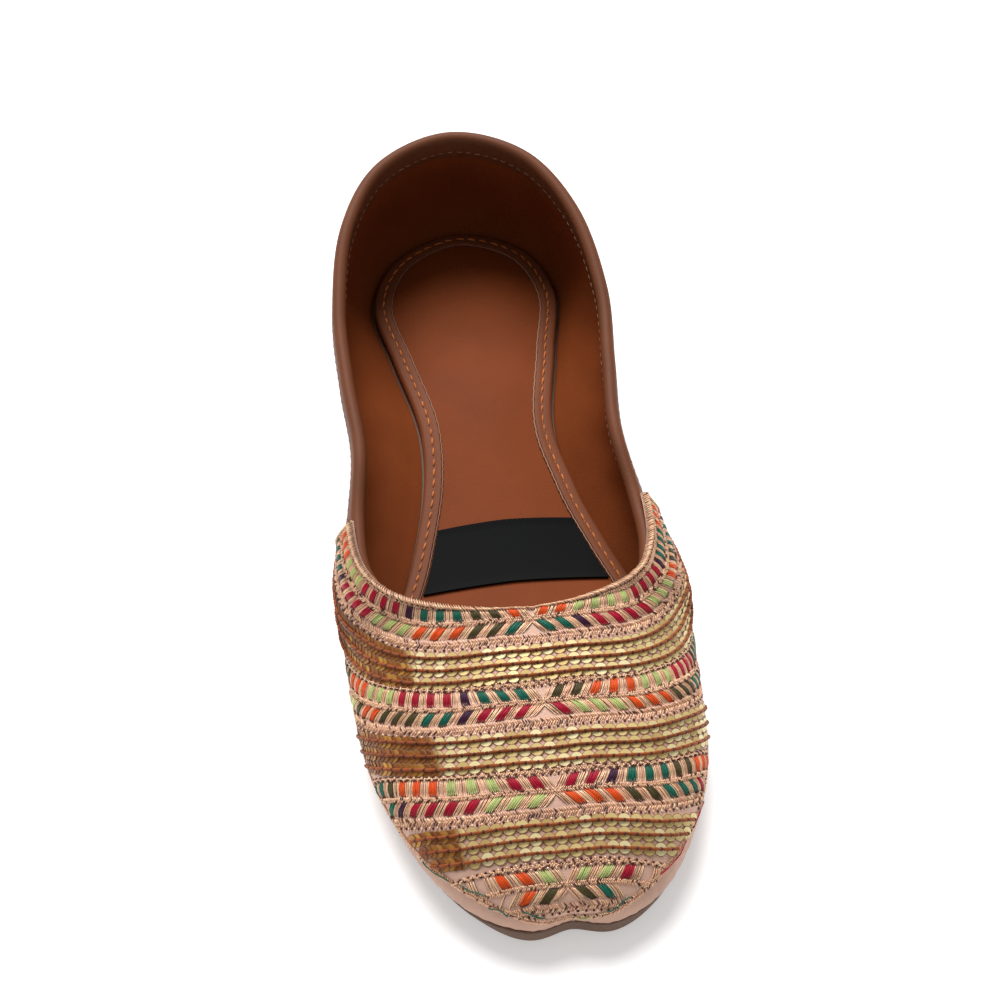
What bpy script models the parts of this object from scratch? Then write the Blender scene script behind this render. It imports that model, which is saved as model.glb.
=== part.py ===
"""A mojari: a flat slip-on shoe with a two-lobed toe, a metallic front and a soft leather back.

Run with: blender --background --python part.py
Metres, +Z up. The toe points along -Y, the floor is Z = 0 and the inner side of the foot is +X.
Every piece is worked out from one last: a foot line round the sole, a top line along the ridge,
the throat and the collar, and a bowed rib from each point of the foot line to the top line.
"""

import math

import bpy
import bmesh
from mathutils import Vector

# Lengths and heights of the shoe
SOLE_LENGTH = 0.244
SOLE_THICKNESS = 0.004
HEEL_LIFT = 0.007
TOE_SPRING = 0.003
BACK_HEIGHT = 0.0530
INSTEP_HEIGHT = 0.0370

# Widths: of the foot line at ball, waist and heel, and of the open top
BALL_WIDTH = 0.0800
WAIST_WIDTH = 0.0420
HEEL_WIDTH = 0.0580
COLLAR_WIDTH = 0.0752
LAST_CURVE = 0.003
OUTER_FULLNESS = 1.70
INNER_FULLNESS = 1.15

# Walls and layers
GAP = 0.0003
UPPER_WALL = 0.0016
VAMP_PLAIN = 0.0012
VAMP_STITCHED = 0.0019
BINDING_WALL = 0.0008
BINDING_DEPTH = 0.0050
INSOLE_EDGE = 0.0022
INSOLE_CROWN = 0.0022
RIM_THICKNESS = 0.0009
RIM_WIDTH = 0.0053
RIBBON_THICKNESS = 0.0006
RIBBON_LENGTH = 0.0205
SOLE_EDGE = 0.0010
SOLE_ROUND = 0.0007
HEEL_INSET = 0.0006

# Places along the sole, as shares of its length from the toe
SPRING_END = 0.20
LIFT_START = 0.42
LIFT_END = 0.74
HEEL_BREAST = 0.71
RIBBON_BACK = 0.527

# The foot line, from the toe's notch round one side to the back of the heel. A row is a station:
# along the sole, half width, and the place on the sole's middle line that the station looks at.
FOOT = (
    (0.0209, 0.00 * BALL_WIDTH, 0.060),
    (0.0139, 0.13 * BALL_WIDTH, 0.070),
    (0.0430, 0.28 * BALL_WIDTH, 0.095),
    (0.1066, 0.40 * BALL_WIDTH, 0.140),
    (0.1926, 0.48 * BALL_WIDTH, 0.205),
    (0.2873, 0.50 * BALL_WIDTH, 0.290),
    (0.3550, 0.48 * BALL_WIDTH, 0.355),
    (0.4200, 0.44 * BALL_WIDTH, 0.420),
    (0.4900, 0.70 * WAIST_WIDTH, 0.490),
    (0.5750, 0.56 * WAIST_WIDTH, 0.575),
    (0.6650, 0.50 * WAIST_WIDTH, 0.665),
    (0.7750, 0.44 * HEEL_WIDTH, 0.770),
    (0.8750, 0.50 * HEEL_WIDTH, 0.845),
    (0.9560, 0.35 * HEEL_WIDTH, 0.895),
    (0.9940, 0.00 * HEEL_WIDTH, 0.920),
)
THROAT_STATION = 5
EAR_STATION = 7.9
LAST_STATION = len(FOOT) - 1

# The ridge of the vamp, a row for each station from the toe to the throat: along, height
RIDGE = (
    (0.060, 0.53 * INSTEP_HEIGHT),
    (0.086, 0.60 * INSTEP_HEIGHT),
    (0.123, 0.69 * INSTEP_HEIGHT),
    (0.174, 0.79 * INSTEP_HEIGHT),
    (0.238, 0.89 * INSTEP_HEIGHT),
    (0.314, 1.00 * INSTEP_HEIGHT),
)

# The open edge, a row for each station from the throat's middle to the back: along, half width,
# height, and sideways place of its middle as a share of LAST_CURVE
EDGE = (
    (0.314, 0.00 * COLLAR_WIDTH, 1.00 * INSTEP_HEIGHT, 0.90),
    (0.347, 0.35 * COLLAR_WIDTH, 0.965 * INSTEP_HEIGHT, 0.25),
    (0.396, 0.47 * COLLAR_WIDTH, 0.935 * INSTEP_HEIGHT, -0.30),
    (0.475, 0.49 * COLLAR_WIDTH, 0.925 * INSTEP_HEIGHT, -0.40),
    (0.566, 0.47 * COLLAR_WIDTH, 0.70 * BACK_HEIGHT, -0.35),
    (0.656, 0.49 * COLLAR_WIDTH, 0.74 * BACK_HEIGHT, -0.25),
    (0.754, 0.50 * COLLAR_WIDTH, 0.81 * BACK_HEIGHT, 0.00),
    (0.861, 0.44 * COLLAR_WIDTH, 0.92 * BACK_HEIGHT, 0.05),
    (0.947, 0.28 * COLLAR_WIDTH, 0.99 * BACK_HEIGHT, 0.10),
    (0.988, 0.00 * COLLAR_WIDTH, 1.00 * BACK_HEIGHT, 0.20),
)

# How each rib bows, a row for each station: rise and flare of its foot as shares of the rib's
# height, lean of its top in degrees from straight down, and reach of the top as a share of its span
RIB = (
    (0.45, 0.28, 90.0, 0.50),
    (0.45, 0.28, 90.0, 0.52),
    (0.45, 0.28, 90.0, 0.55),
    (0.45, 0.26, 90.0, 0.60),
    (0.44, 0.24, 90.0, 0.62),
    (0.42, 0.24, 90.0, 0.62),
    (0.40, 0.26, 70.0, 0.54),
    (0.36, 0.30, 44.0, 0.46),
    (0.34, 0.34, 24.0, 0.42),
    (0.34, 0.34, 10.0, 0.42),
    (0.34, 0.32, 8.0, 0.42),
    (0.34, 0.24, 6.0, 0.42),
    (0.34, 0.16, 4.0, 0.42),
    (0.34, 0.12, 4.0, 0.42),
    (0.34, 0.10, 4.0, 0.42),
)

# Sideways place of the sole's middle line, as a share of LAST_CURVE: along, share
MIDDLE = (
    (0.000, 1.00),
    (0.100, 0.90),
    (0.300, 0.50),
    (0.455, 1.05),
    (0.570, 0.85),
    (0.655, 0.60),
    (0.870, 0.50),
    (1.000, 0.75),
)

# Height of the vamp's plain lower band, a row for each station to the ear, as a share of its rib
BAND = (0.20, 0.20, 0.24, 0.20, 0.15, 0.13, 0.13, 0.14, 0.15)

TOE_STEPS = 15
WING_STEPS = 9
BACK_STEPS = 18
RIB_STEPS = 8
RING_STEPS = 4
LATERAL, MEDIAL = -1, 1

COLOURS = {
    "outsole": (0.075, 0.055, 0.042),
    "heel": (0.070, 0.050, 0.040),
    "upper": (0.255, 0.085, 0.035),
    "vamp": (0.60, 0.36, 0.26),
    "collar_binding": (0.235, 0.090, 0.045),
    "insole": (0.250, 0.080, 0.030),
    "insole_rim": (0.215, 0.080, 0.040),
    "ribbon": (0.012, 0.013, 0.014),
}


def clear_scene():
    for thing in list(bpy.data.objects):
        bpy.data.objects.remove(thing)


def hermite(before, start, end, after, t):
    """A number on the smooth curve through four even stations, between the middle two."""
    a = (end - before) / 2
    b = (after - start) / 2
    t2, t3 = t * t, t * t * t
    return (2 * t3 - 3 * t2 + 1) * start + (t3 - 2 * t2 + t) * a + (3 * t2 - 2 * t3) * end + (t3 - t2) * b


def along_rows(rows, place, mirrored_start=False, mirrored_end=False):
    """The row at a place between rows, 0 being the first. Past a mirrored end, column 1 changes sign."""
    last = len(rows) - 1
    i = min(max(int(place), 0), last - 1)
    t = min(max(place - i, 0.0), 1.0)
    made = []
    for column in range(len(rows[0])):
        start, end = rows[i][column], rows[i + 1][column]
        sign = -1 if column == 1 else 1
        before = rows[i - 1][column] if i > 0 else 2 * start - end
        after = rows[i + 2][column] if i + 2 <= last else 2 * end - start
        if i == 0 and mirrored_start:
            before = sign * end
        if i + 1 == last and mirrored_end:
            after = sign * start
        made.append(hermite(before, start, end, after, t))
    return made


def smooth(low, high, value):
    """0 below low, 1 above high and an even S between."""
    t = min(max((value - low) / (high - low), 0.0), 1.0)
    return t * t * (3 - 2 * t)


def spread(low, high, steps):
    return [low + (high - low) * n / steps for n in range(steps + 1)]


def share_of(y):
    return y / SOLE_LENGTH + 0.5


def y_of(share):
    return (share - 0.5) * SOLE_LENGTH


def middle(y):
    """Sideways place of the sole's middle line at y."""
    share = min(max(share_of(y), MIDDLE[0][0]), MIDDLE[-1][0])
    i = max(n for n, row in enumerate(MIDDLE[:-1]) if row[0] <= share)
    (low, a), (high, b) = MIDDLE[i], MIDDLE[i + 1]
    return LAST_CURVE * (a + (b - a) * smooth(low, high, share))


def sole_top(y):
    share = share_of(y)
    spring = max(0.0, (SPRING_END - share) / SPRING_END)
    return SOLE_THICKNESS + TOE_SPRING * spring**2 + HEEL_LIFT * smooth(LIFT_START, LIFT_END, share)


def foot_plan(station):
    """The foot line in plan, before it curves to one side: half width, y, and middle y."""
    share, half, mid = along_rows(FOOT, station, mirrored_start=True, mirrored_end=True)
    return half, y_of(share), y_of(mid)


def plan_out(station, side):
    """Level direction out of the shoe, square to the foot line."""
    step = 0.02
    low, high = max(station - step, 0.0), min(station + step, LAST_STATION)
    a, b = foot_plan(low), foot_plan(high)
    along = Vector((side * (b[0] - a[0]), b[1] - a[1], 0.0))
    if low == 0.0:
        along = Vector((side, 0.0, 0.0))
    if high == LAST_STATION:
        along = Vector((-side, 0.0, 0.0))
    along.normalize()
    return Vector((along.y * side, -along.x * side, 0.0))


def edge_point(station, side):
    """A point of the top line: the ridge as far as the throat, and the open edge behind it."""
    if station <= THROAT_STATION:
        share, height = along_rows(RIDGE, station)
        toe, throat = middle(y_of(RIDGE[0][0])), LAST_CURVE * EDGE[0][3]
        x = toe + (throat - toe) * station / THROAT_STATION
        return Vector((x, y_of(share), height))
    share, half, height, mid = along_rows(EDGE, station - THROAT_STATION, mirrored_start=True, mirrored_end=True)
    return Vector((side * half + LAST_CURVE * mid, y_of(share), height))


def down_ridge(station):
    """Direction along the ridge toward the toe."""
    step = 0.05
    station = max(station, step)
    return (edge_point(station - step, MEDIAL) - edge_point(station, MEDIAL)).normalized()


def rib(station, side, v):
    """A point of the upper's outside, v going from 0 at the sole to 1 at the top line."""
    half, y, _ = foot_plan(station)
    foot = Vector((side * half + middle(y), y, sole_top(y) + GAP))
    top = edge_point(station, side)
    rise, flare, lean, reach = along_rows(RIB, station)
    fullness = OUTER_FULLNESS if side == LATERAL else INNER_FULLNESS
    flare *= 1 + (fullness - 1) * smooth(0.0, 3.0, station) * (1 - smooth(10.0, 13.0, station))
    out = plan_out(station, side)
    top_out = out
    if station <= THROAT_STATION:
        turn = smooth(0.0, 1.5, station)
        top_out = (Vector((side, 0.0, 0.0)) * turn + down_ridge(station) * (1 - turn)).normalized()
        lean = RIB[0][2]
    height = top.z - foot.z
    span = (top - foot).length
    low = foot + Vector((0, 0, rise * height)) + out * (flare * height)
    lean = math.radians(lean)
    high = top + (top_out * math.sin(lean) + Vector((0, 0, -math.cos(lean)))) * (reach * span)
    w = 1.0 - v
    return foot * w**3 + low * (3 * w * w * v) + high * (3 * w * v * v) + top * v**3


def outward(station, side, v):
    """Direction out of the upper's surface."""
    step = 0.01
    a, b = max(station - step, 0.0), min(station + step, LAST_STATION)
    if station <= THROAT_STATION < b:
        b = station
    if a < THROAT_STATION < station:
        a = station
    low, high = max(v - step, 0.0), min(v + step, 1.0)
    along = rib(b, side, v) - rib(a, side, v)
    up = rib(station, side, high) - rib(station, side, low)
    if station in (0.0, LAST_STATION):
        along = Vector((side if station == 0.0 else -side, 0.0, 0.0))
    if v == 1.0 and 0.0 < station <= THROAT_STATION:
        up = Vector((-side, 0.0, 0.0))
    out = (along.cross(up) * side).normalized()
    return plan_out(station, side).lerp(out, smooth(0.0, 0.2, v)).normalized()


def skin(station, side, v, offset):
    """A point that far outside the upper's surface, or inside it where offset is below 0."""
    return rib(station, side, v) + outward(station, side, v) * offset


TOE_STATIONS = spread(0, THROAT_STATION, TOE_STEPS)
WING_STATIONS = spread(THROAT_STATION, EAR_STATION, WING_STEPS)[1:]
BACK_STATIONS = spread(EAR_STATION, LAST_STATION, BACK_STEPS)[1:]
ALL_STATIONS = TOE_STATIONS + WING_STATIONS + BACK_STATIONS


def new_object(name, mesh):
    thing = bpy.data.objects.new(name, mesh)
    bpy.data.collections["mojari"].objects.link(thing)
    paint = bpy.data.materials.new(name)
    paint.use_nodes = True
    shader = paint.node_tree.nodes["Principled BSDF"]
    shader.inputs["Base Color"].default_value = (*COLOURS[name], 1.0)
    shader.inputs["Roughness"].default_value = 0.55
    shader.inputs["Metallic"].default_value = 0.6 if name == "vamp" else 0.0
    mesh.materials.append(paint)
    mesh.shade_smooth()
    mesh.set_sharp_from_angle(angle=math.radians(40))
    return thing


def between(name, near, far, faces):
    """A closed solid between two sheets with the same faces. near and far map a key to a point."""
    form = bmesh.new()
    low = {key: form.verts.new(point) for key, point in near.items()}
    high = {key: form.verts.new(point) for key, point in far.items()}
    edges = set()
    for face in faces:
        keys = [key for n, key in enumerate(face) if key != face[n - 1]]
        form.faces.new([high[key] for key in keys])
        form.faces.new([low[key] for key in reversed(keys)])
        edges.update((keys[n - 1], key) for n, key in enumerate(keys))
    for first, second in edges:
        if (second, first) not in edges:
            form.faces.new([high[second], high[first], low[first], low[second]])
    bmesh.ops.recalc_face_normals(form, faces=form.faces)
    mesh = bpy.data.meshes.new(name)
    form.to_mesh(mesh)
    form.free()
    return new_object(name, mesh)


def two_sided(stations, levels, joined):
    """Keys and faces of a sheet over both sides. joined says where the sides share a point."""

    def key(side, i, j):
        return (0, i, j) if joined(stations[i], j) else (side, i, j)

    faces = []
    for side in (LATERAL, MEDIAL):
        for i in range(len(stations) - 1):
            for j in range(levels - 1):
                around = [key(side, i, j), key(side, i + 1, j), key(side, i + 1, j + 1), key(side, i, j + 1)]
                faces.append(around if side == MEDIAL else around[::-1])
    return key, faces


def points_of(stations, levels, key, point):
    """A sheet's points by key, where point(station, side, level) places each."""
    made = {}
    for side in (LATERAL, MEDIAL):
        for i, station in enumerate(stations):
            for j in range(levels):
                if key(side, i, j) not in made:
                    made[key(side, i, j)] = point(station, side, j)
    return made


def wall(name, stations, heights, offsets, joined):
    """A solid that follows the last. heights lists a station's levels, offsets gives its two faces."""
    levels = len(heights(stations[0]))
    key, faces = two_sided(stations, levels, joined)

    def face_points(which):
        return points_of(
            stations,
            levels,
            key,
            lambda station, side, j: skin(station, side, heights(station)[j], offsets(station, j)[which]),
        )

    return between(name, face_points(0), face_points(1), faces)


def band_share(station):
    return along_rows([(share,) for share in BAND], min(station, len(BAND) - 1))[0]


def tuck(station):
    """How far the upper's edge drops under the wings of the vamp, as a share of the rib."""
    return 0.07 * smooth(5.9, 6.7, station) * (1 - smooth(EAR_STATION - 0.2, EAR_STATION + 1.0, station))


def upper_heights(station):
    band = band_share(station)
    return [0.0, band / 2] + spread(band, 1.0 - tuck(station), RIB_STEPS)


def make_upper():
    """The leather body: one hollow wall, open at the collar and throat and over the sole."""
    last = RIB_STEPS + 2
    wall(
        "upper",
        ALL_STATIONS,
        upper_heights,
        lambda station, j: (-UPPER_WALL, 0.0),
        lambda station, j: station in (0, LAST_STATION) or (j == last and station <= THROAT_STATION),
    )


def vamp_gap(station, v):
    """Room under the vamp, which at the top of its wings lies over the collar's binding."""
    return GAP + (BINDING_WALL + GAP) * smooth(4.6, 6.6, station) * smooth(0.35, 0.75, v)


def vamp_heights(station):
    band = band_share(station)
    return [0.0, band / 2, band, band + 0.025] + spread(band, 1.0, RIB_STEPS)[1:]


def vamp_faces(station, j):
    gap = vamp_gap(station, vamp_heights(station)[j])
    return gap, gap + (VAMP_STITCHED if j > 2 else VAMP_PLAIN)


def make_vamp():
    """The metallic front, from the throat down to the sole, thicker where it is embroidered."""
    last = RIB_STEPS + 3
    wall(
        "vamp",
        TOE_STATIONS + WING_STATIONS,
        vamp_heights,
        vamp_faces,
        lambda station, j: station == 0 or (j == last and station <= THROAT_STATION),
    )


def binding_point(station, side, j, reach):
    """A point on the fold round the collar: down the outside, over the edge, down the inside."""
    top = 1.0 - tuck(station)
    turn = 4
    down = BINDING_DEPTH / (rib(station, side, top) - rib(station, side, 0.0)).length
    if j < 2 or j > turn + 2:
        v = top - down * (1 - j / 2 if j < 2 else (j - turn - 2) / 2)
        return skin(station, side, v, reach if j < 2 else -UPPER_WALL - reach)
    angle = math.pi * (j - 2) / turn
    out = outward(station, side, top)
    up = (rib(station, side, top) - rib(station, side, top - 0.02)).normalized()
    centre = skin(station, side, top, -UPPER_WALL / 2)
    return centre + (out * math.cos(angle) + up * math.sin(angle)) * (UPPER_WALL / 2 + reach)


def make_binding():
    """The folded tape round the collar, running on under the wings of the vamp."""
    stations = [station for station in ALL_STATIONS if station > 6.6]
    levels = 9
    key, faces = two_sided(stations, levels, lambda station, j: station == LAST_STATION)

    def sheet(reach):
        return points_of(stations, levels, key, lambda station, side, j: binding_point(station, side, j, reach))

    between("collar_binding", sheet(GAP), sheet(GAP + BINDING_WALL), faces)


def sole_outline(station, side):
    """Edge of the outsole in plan: past the vamp at the front, past the upper behind it."""
    half, y, _ = foot_plan(station)
    front = 1 - smooth(EAR_STATION, EAR_STATION + 1.2, station)
    reach = SOLE_EDGE + (GAP + VAMP_PLAIN) * front
    point = Vector((side * half + middle(y), y, 0.0)) + plan_out(station, side) * reach
    return point


def toward_middle(station, point, share):
    """A point that share of the way from a plan point to the sole's middle line."""
    y = foot_plan(station)[2]
    return point.lerp(Vector((middle(y), y, 0.0)), share)


def inset(station, side, point, width):
    return point - plan_out(station, side) * width


def make_outsole():
    """The thin sole, its edge slightly rounded above and below."""
    shares = [0.0, 0.0] + spread(0.0, 1.0, RING_STEPS)[1:]
    levels = len(shares)
    key, faces = two_sided(
        ALL_STATIONS,
        levels,
        lambda station, j: station in (0, LAST_STATION) or j == levels - 1,
    )

    def sheet(low, turn):
        def point(station, side, j):
            start = sole_outline(station, side)
            if j:
                start = inset(station, side, start, SOLE_ROUND)
            plan = toward_middle(station, start, shares[j])
            plan.z = sole_top(plan.y) - low + (turn if j == 0 else 0.0)
            return plan

        return points_of(ALL_STATIONS, levels, key, point)

    between("outsole", sheet(SOLE_THICKNESS, SOLE_ROUND), sheet(0.0, -SOLE_ROUND), faces)


def make_heel():
    """The low heel lift under the back of the sole, with a hollowed breast."""
    stations = [station for station in ALL_STATIONS if share_of(foot_plan(station)[1]) > HEEL_BREAST]
    shares = [0.0, 0.0] + spread(0.0, 1.0, RING_STEPS)[1:]
    levels = len(shares)
    key, faces = two_sided(stations, levels, lambda station, j: station == LAST_STATION or j == levels - 1)
    first = stations[0]

    def sheet(is_top):
        def point(station, side, j):
            edge = HEEL_INSET + (SOLE_ROUND if j else 0.0)
            start = inset(station, side, sole_outline(station, side), edge)
            plan = toward_middle(station, start, shares[j])
            if station == first:
                plan.y = start.y + 0.004 * (1 - (1 - shares[j]) ** 2)
            turn = SOLE_ROUND if j == 0 else 0.0
            plan.z = sole_top(plan.y) - SOLE_THICKNESS - GAP - turn / 2 if is_top else turn
            return plan

        return points_of(stations, levels, key, point)

    between("heel", sheet(False), sheet(True), faces)


def insole_outline(station, side):
    """Edge of the insole in plan, just inside the upper's wall."""
    half, y, _ = foot_plan(station)
    foot = Vector((side * half + middle(y), y, 0.0))
    return inset(station, side, foot, UPPER_WALL + 2 * GAP)


def insole_top(station, side, share):
    """A point of the insole's upper face, share going from 0 at its edge to 1 at the middle line."""
    plan = toward_middle(station, insole_outline(station, side), share)
    bulge = math.sin(share * math.pi / 2)
    plan.z = sole_top(plan.y) + GAP + INSOLE_EDGE + INSOLE_CROWN * bulge
    return plan


def rim_share(station, side, width):
    """The share of the way in at which a strip of that width along the insole's edge ends."""
    start = insole_outline(station, side)
    return width / (toward_middle(station, start, 1.0) - start).length


def insole_share(station, side, j):
    """Rings of the insole: its edge, the two sides of the rim's inner edge, then even steps."""
    rim = rim_share(station, side, RIM_WIDTH)
    return [0.0, rim / 2, rim, rim + (1 - rim) / 3, rim + (1 - rim) * 2 / 3, 1.0][j]


def make_insole():
    """The padded sock, a little domed."""
    levels = 6
    key, faces = two_sided(
        ALL_STATIONS,
        levels,
        lambda station, j: station in (0, LAST_STATION) or j == levels - 1,
    )

    def top(station, side, j):
        return insole_top(station, side, insole_share(station, side, j))

    def under(station, side, j):
        point = top(station, side, j)
        point.z = sole_top(point.y) + GAP
        return point

    between(
        "insole",
        points_of(ALL_STATIONS, levels, key, under),
        points_of(ALL_STATIONS, levels, key, top),
        faces,
    )


def make_rim():
    """The stitched strip that borders the insole from under one side of the vamp to the other."""
    stations = [station for station in ALL_STATIONS if station > 5.6]
    levels = 3
    key, faces = two_sided(stations, levels, lambda station, j: station == LAST_STATION)

    def sheet(lift):
        def point(station, side, j):
            made = insole_top(station, side, insole_share(station, side, j))
            return made + Vector((0, 0, lift))

        return points_of(stations, levels, key, point)

    between("insole_rim", sheet(GAP), sheet(GAP + RIM_THICKNESS), faces)


def ribbon_levels(side, share):
    """Where a line across the insole, starting at that share of the sole, crosses the rim's inner edge."""
    y = y_of(share)
    low, high = float(THROAT_STATION), float(LAST_STATION - 3)
    for _ in range(30):
        station = (low + high) / 2
        rim = rim_share(station, side, RIM_WIDTH)
        if insole_top(station, side, rim).y < y:
            low = station
        else:
            high = station
    return station


def ribbon_point(across, back, lift):
    """A point of the ribbon: across goes from -1 to 1 and back from 0 at its front edge to 1."""
    side = LATERAL if across < 0 else MEDIAL
    share = RIBBON_BACK - (1 - back) * RIBBON_LENGTH / SOLE_LENGTH
    station = ribbon_levels(side, share)
    rim = rim_share(station, side, RIM_WIDTH)
    edge = rim + (1 - rim) * 0.02
    return insole_top(station, side, 1 - abs(across) * (1 - edge)) + Vector((0, 0, lift))


def make_ribbon():
    """The woven label across the insole, from rim to rim."""
    across = spread(-1.0, 1.0, 12)
    back = spread(0.0, 1.0, 4)
    faces = [
        [(i, j), (i + 1, j), (i + 1, j + 1), (i, j + 1)]
        for i in range(len(across) - 1)
        for j in range(len(back) - 1)
    ]

    def sheet(lift):
        return {
            (i, j): ribbon_point(a, b, lift)
            for i, a in enumerate(across)
            for j, b in enumerate(back)
        }

    between("ribbon", sheet(GAP), sheet(GAP + RIBBON_THICKNESS), faces)


def main():
    clear_scene()
    group = bpy.data.collections.new("mojari")
    bpy.context.scene.collection.children.link(group)
    make_outsole()
    make_heel()
    make_upper()
    make_vamp()
    make_binding()
    make_insole()
    make_rim()
    make_ribbon()


main()
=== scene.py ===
"""Looks of a mojari: metallic embroidered vamp, soft leather back, padded insole and thin sole.

The form comes from the same last as the model: stations run round the foot line from the toe to
the heel, and v runs up a rib from the sole to the ridge, the throat and the collar. Lengths are in
metres and the toe points along -Y. The embroidery is laid out in zones of their own: s runs along
a stitched row from the middle line, and r runs across it, down toward the toe.
"""

import math

import bmesh
import bpy
import numpy as np
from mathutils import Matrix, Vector
from mathutils.bvhtree import BVHTree


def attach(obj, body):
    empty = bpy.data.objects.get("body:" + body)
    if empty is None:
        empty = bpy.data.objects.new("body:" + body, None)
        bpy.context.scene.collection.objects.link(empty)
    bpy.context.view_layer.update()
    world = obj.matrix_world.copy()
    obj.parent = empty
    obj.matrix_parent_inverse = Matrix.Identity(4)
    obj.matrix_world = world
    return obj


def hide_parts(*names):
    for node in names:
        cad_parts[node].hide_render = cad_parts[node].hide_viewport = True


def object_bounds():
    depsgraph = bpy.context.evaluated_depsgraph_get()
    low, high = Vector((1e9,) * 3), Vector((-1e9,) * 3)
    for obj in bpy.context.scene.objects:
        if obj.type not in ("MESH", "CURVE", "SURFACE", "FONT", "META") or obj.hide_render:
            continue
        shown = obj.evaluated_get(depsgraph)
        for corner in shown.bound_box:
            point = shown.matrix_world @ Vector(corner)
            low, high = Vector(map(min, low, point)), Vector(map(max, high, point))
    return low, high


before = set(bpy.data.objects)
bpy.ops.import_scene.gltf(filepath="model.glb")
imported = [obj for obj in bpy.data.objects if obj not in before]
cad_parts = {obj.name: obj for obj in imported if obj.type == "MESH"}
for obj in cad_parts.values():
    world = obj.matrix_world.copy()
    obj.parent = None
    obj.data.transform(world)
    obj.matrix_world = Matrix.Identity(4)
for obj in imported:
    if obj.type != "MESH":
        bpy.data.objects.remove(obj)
cad_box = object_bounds()
chance = np.random.default_rng(7)
MM = 0.001

# Sizes of the shoe, as in the model
SOLE_LENGTH = 0.244
SOLE_THICKNESS = 0.004
HEEL_LIFT = 0.007
TOE_SPRING = 0.003
BACK_HEIGHT = 0.0530
INSTEP_HEIGHT = 0.0370
BALL_WIDTH = 0.0800
WAIST_WIDTH = 0.0420
HEEL_WIDTH = 0.0580
COLLAR_WIDTH = 0.0752
LAST_CURVE = 0.003
OUTER_FULLNESS = 1.70
INNER_FULLNESS = 1.15
GAP = 0.0003
UPPER_WALL = 0.0016
VAMP_PLAIN = 0.0012
BINDING_WALL = 0.0008
BINDING_DEPTH = 0.0050
INSOLE_EDGE = 0.0022
INSOLE_CROWN = 0.0022
RIM_THICKNESS = 0.0009
RIM_WIDTH = 0.0053
RIBBON_THICKNESS = 0.0006
RIBBON_LENGTH = 0.0205
SOLE_EDGE = 0.0010
SOLE_ROUND = 0.0007
HEEL_INSET = 0.0006
SPRING_END = 0.20
LIFT_START = 0.42
LIFT_END = 0.74
HEEL_BREAST = 0.71
RIBBON_BACK = 0.527

# The foot line: along the sole, half width, and the middle place that the station looks at
FOOT = (
    (0.0209, 0.00 * BALL_WIDTH, 0.060),
    (0.0139, 0.13 * BALL_WIDTH, 0.070),
    (0.0430, 0.28 * BALL_WIDTH, 0.095),
    (0.1066, 0.40 * BALL_WIDTH, 0.140),
    (0.1926, 0.48 * BALL_WIDTH, 0.205),
    (0.2873, 0.50 * BALL_WIDTH, 0.290),
    (0.3550, 0.48 * BALL_WIDTH, 0.355),
    (0.4200, 0.44 * BALL_WIDTH, 0.420),
    (0.4900, 0.70 * WAIST_WIDTH, 0.490),
    (0.5750, 0.56 * WAIST_WIDTH, 0.575),
    (0.6650, 0.50 * WAIST_WIDTH, 0.665),
    (0.7750, 0.44 * HEEL_WIDTH, 0.770),
    (0.8750, 0.50 * HEEL_WIDTH, 0.845),
    (0.9560, 0.35 * HEEL_WIDTH, 0.895),
    (0.9940, 0.00 * HEEL_WIDTH, 0.920),
)
THROAT_STATION = 5
EAR_STATION = 7.9
LAST_STATION = len(FOOT) - 1

# The ridge of the vamp, from the toe to the throat: along, height
RIDGE = (
    (0.060, 0.53 * INSTEP_HEIGHT),
    (0.086, 0.60 * INSTEP_HEIGHT),
    (0.123, 0.69 * INSTEP_HEIGHT),
    (0.174, 0.79 * INSTEP_HEIGHT),
    (0.238, 0.89 * INSTEP_HEIGHT),
    (0.314, 1.00 * INSTEP_HEIGHT),
)

# The open edge, from the throat to the back: along, half width, height, middle as a share of LAST_CURVE
EDGE = (
    (0.314, 0.00 * COLLAR_WIDTH, 1.00 * INSTEP_HEIGHT, 0.90),
    (0.347, 0.35 * COLLAR_WIDTH, 0.965 * INSTEP_HEIGHT, 0.25),
    (0.396, 0.47 * COLLAR_WIDTH, 0.935 * INSTEP_HEIGHT, -0.30),
    (0.475, 0.49 * COLLAR_WIDTH, 0.925 * INSTEP_HEIGHT, -0.40),
    (0.566, 0.47 * COLLAR_WIDTH, 0.70 * BACK_HEIGHT, -0.35),
    (0.656, 0.49 * COLLAR_WIDTH, 0.74 * BACK_HEIGHT, -0.25),
    (0.754, 0.50 * COLLAR_WIDTH, 0.81 * BACK_HEIGHT, 0.00),
    (0.861, 0.44 * COLLAR_WIDTH, 0.92 * BACK_HEIGHT, 0.05),
    (0.947, 0.28 * COLLAR_WIDTH, 0.99 * BACK_HEIGHT, 0.10),
    (0.988, 0.00 * COLLAR_WIDTH, 1.00 * BACK_HEIGHT, 0.20),
)

# How each rib bows: rise and flare of its foot, lean of its top in degrees, reach of its top
RIB = (
    (0.45, 0.28, 90.0, 0.50),
    (0.45, 0.28, 90.0, 0.52),
    (0.45, 0.28, 90.0, 0.55),
    (0.45, 0.26, 90.0, 0.60),
    (0.44, 0.24, 90.0, 0.62),
    (0.42, 0.24, 90.0, 0.62),
    (0.40, 0.26, 70.0, 0.54),
    (0.36, 0.30, 44.0, 0.46),
    (0.34, 0.34, 24.0, 0.42),
    (0.34, 0.34, 10.0, 0.42),
    (0.34, 0.32, 8.0, 0.42),
    (0.34, 0.24, 6.0, 0.42),
    (0.34, 0.16, 4.0, 0.42),
    (0.34, 0.12, 4.0, 0.42),
    (0.34, 0.10, 4.0, 0.42),
)

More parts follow.
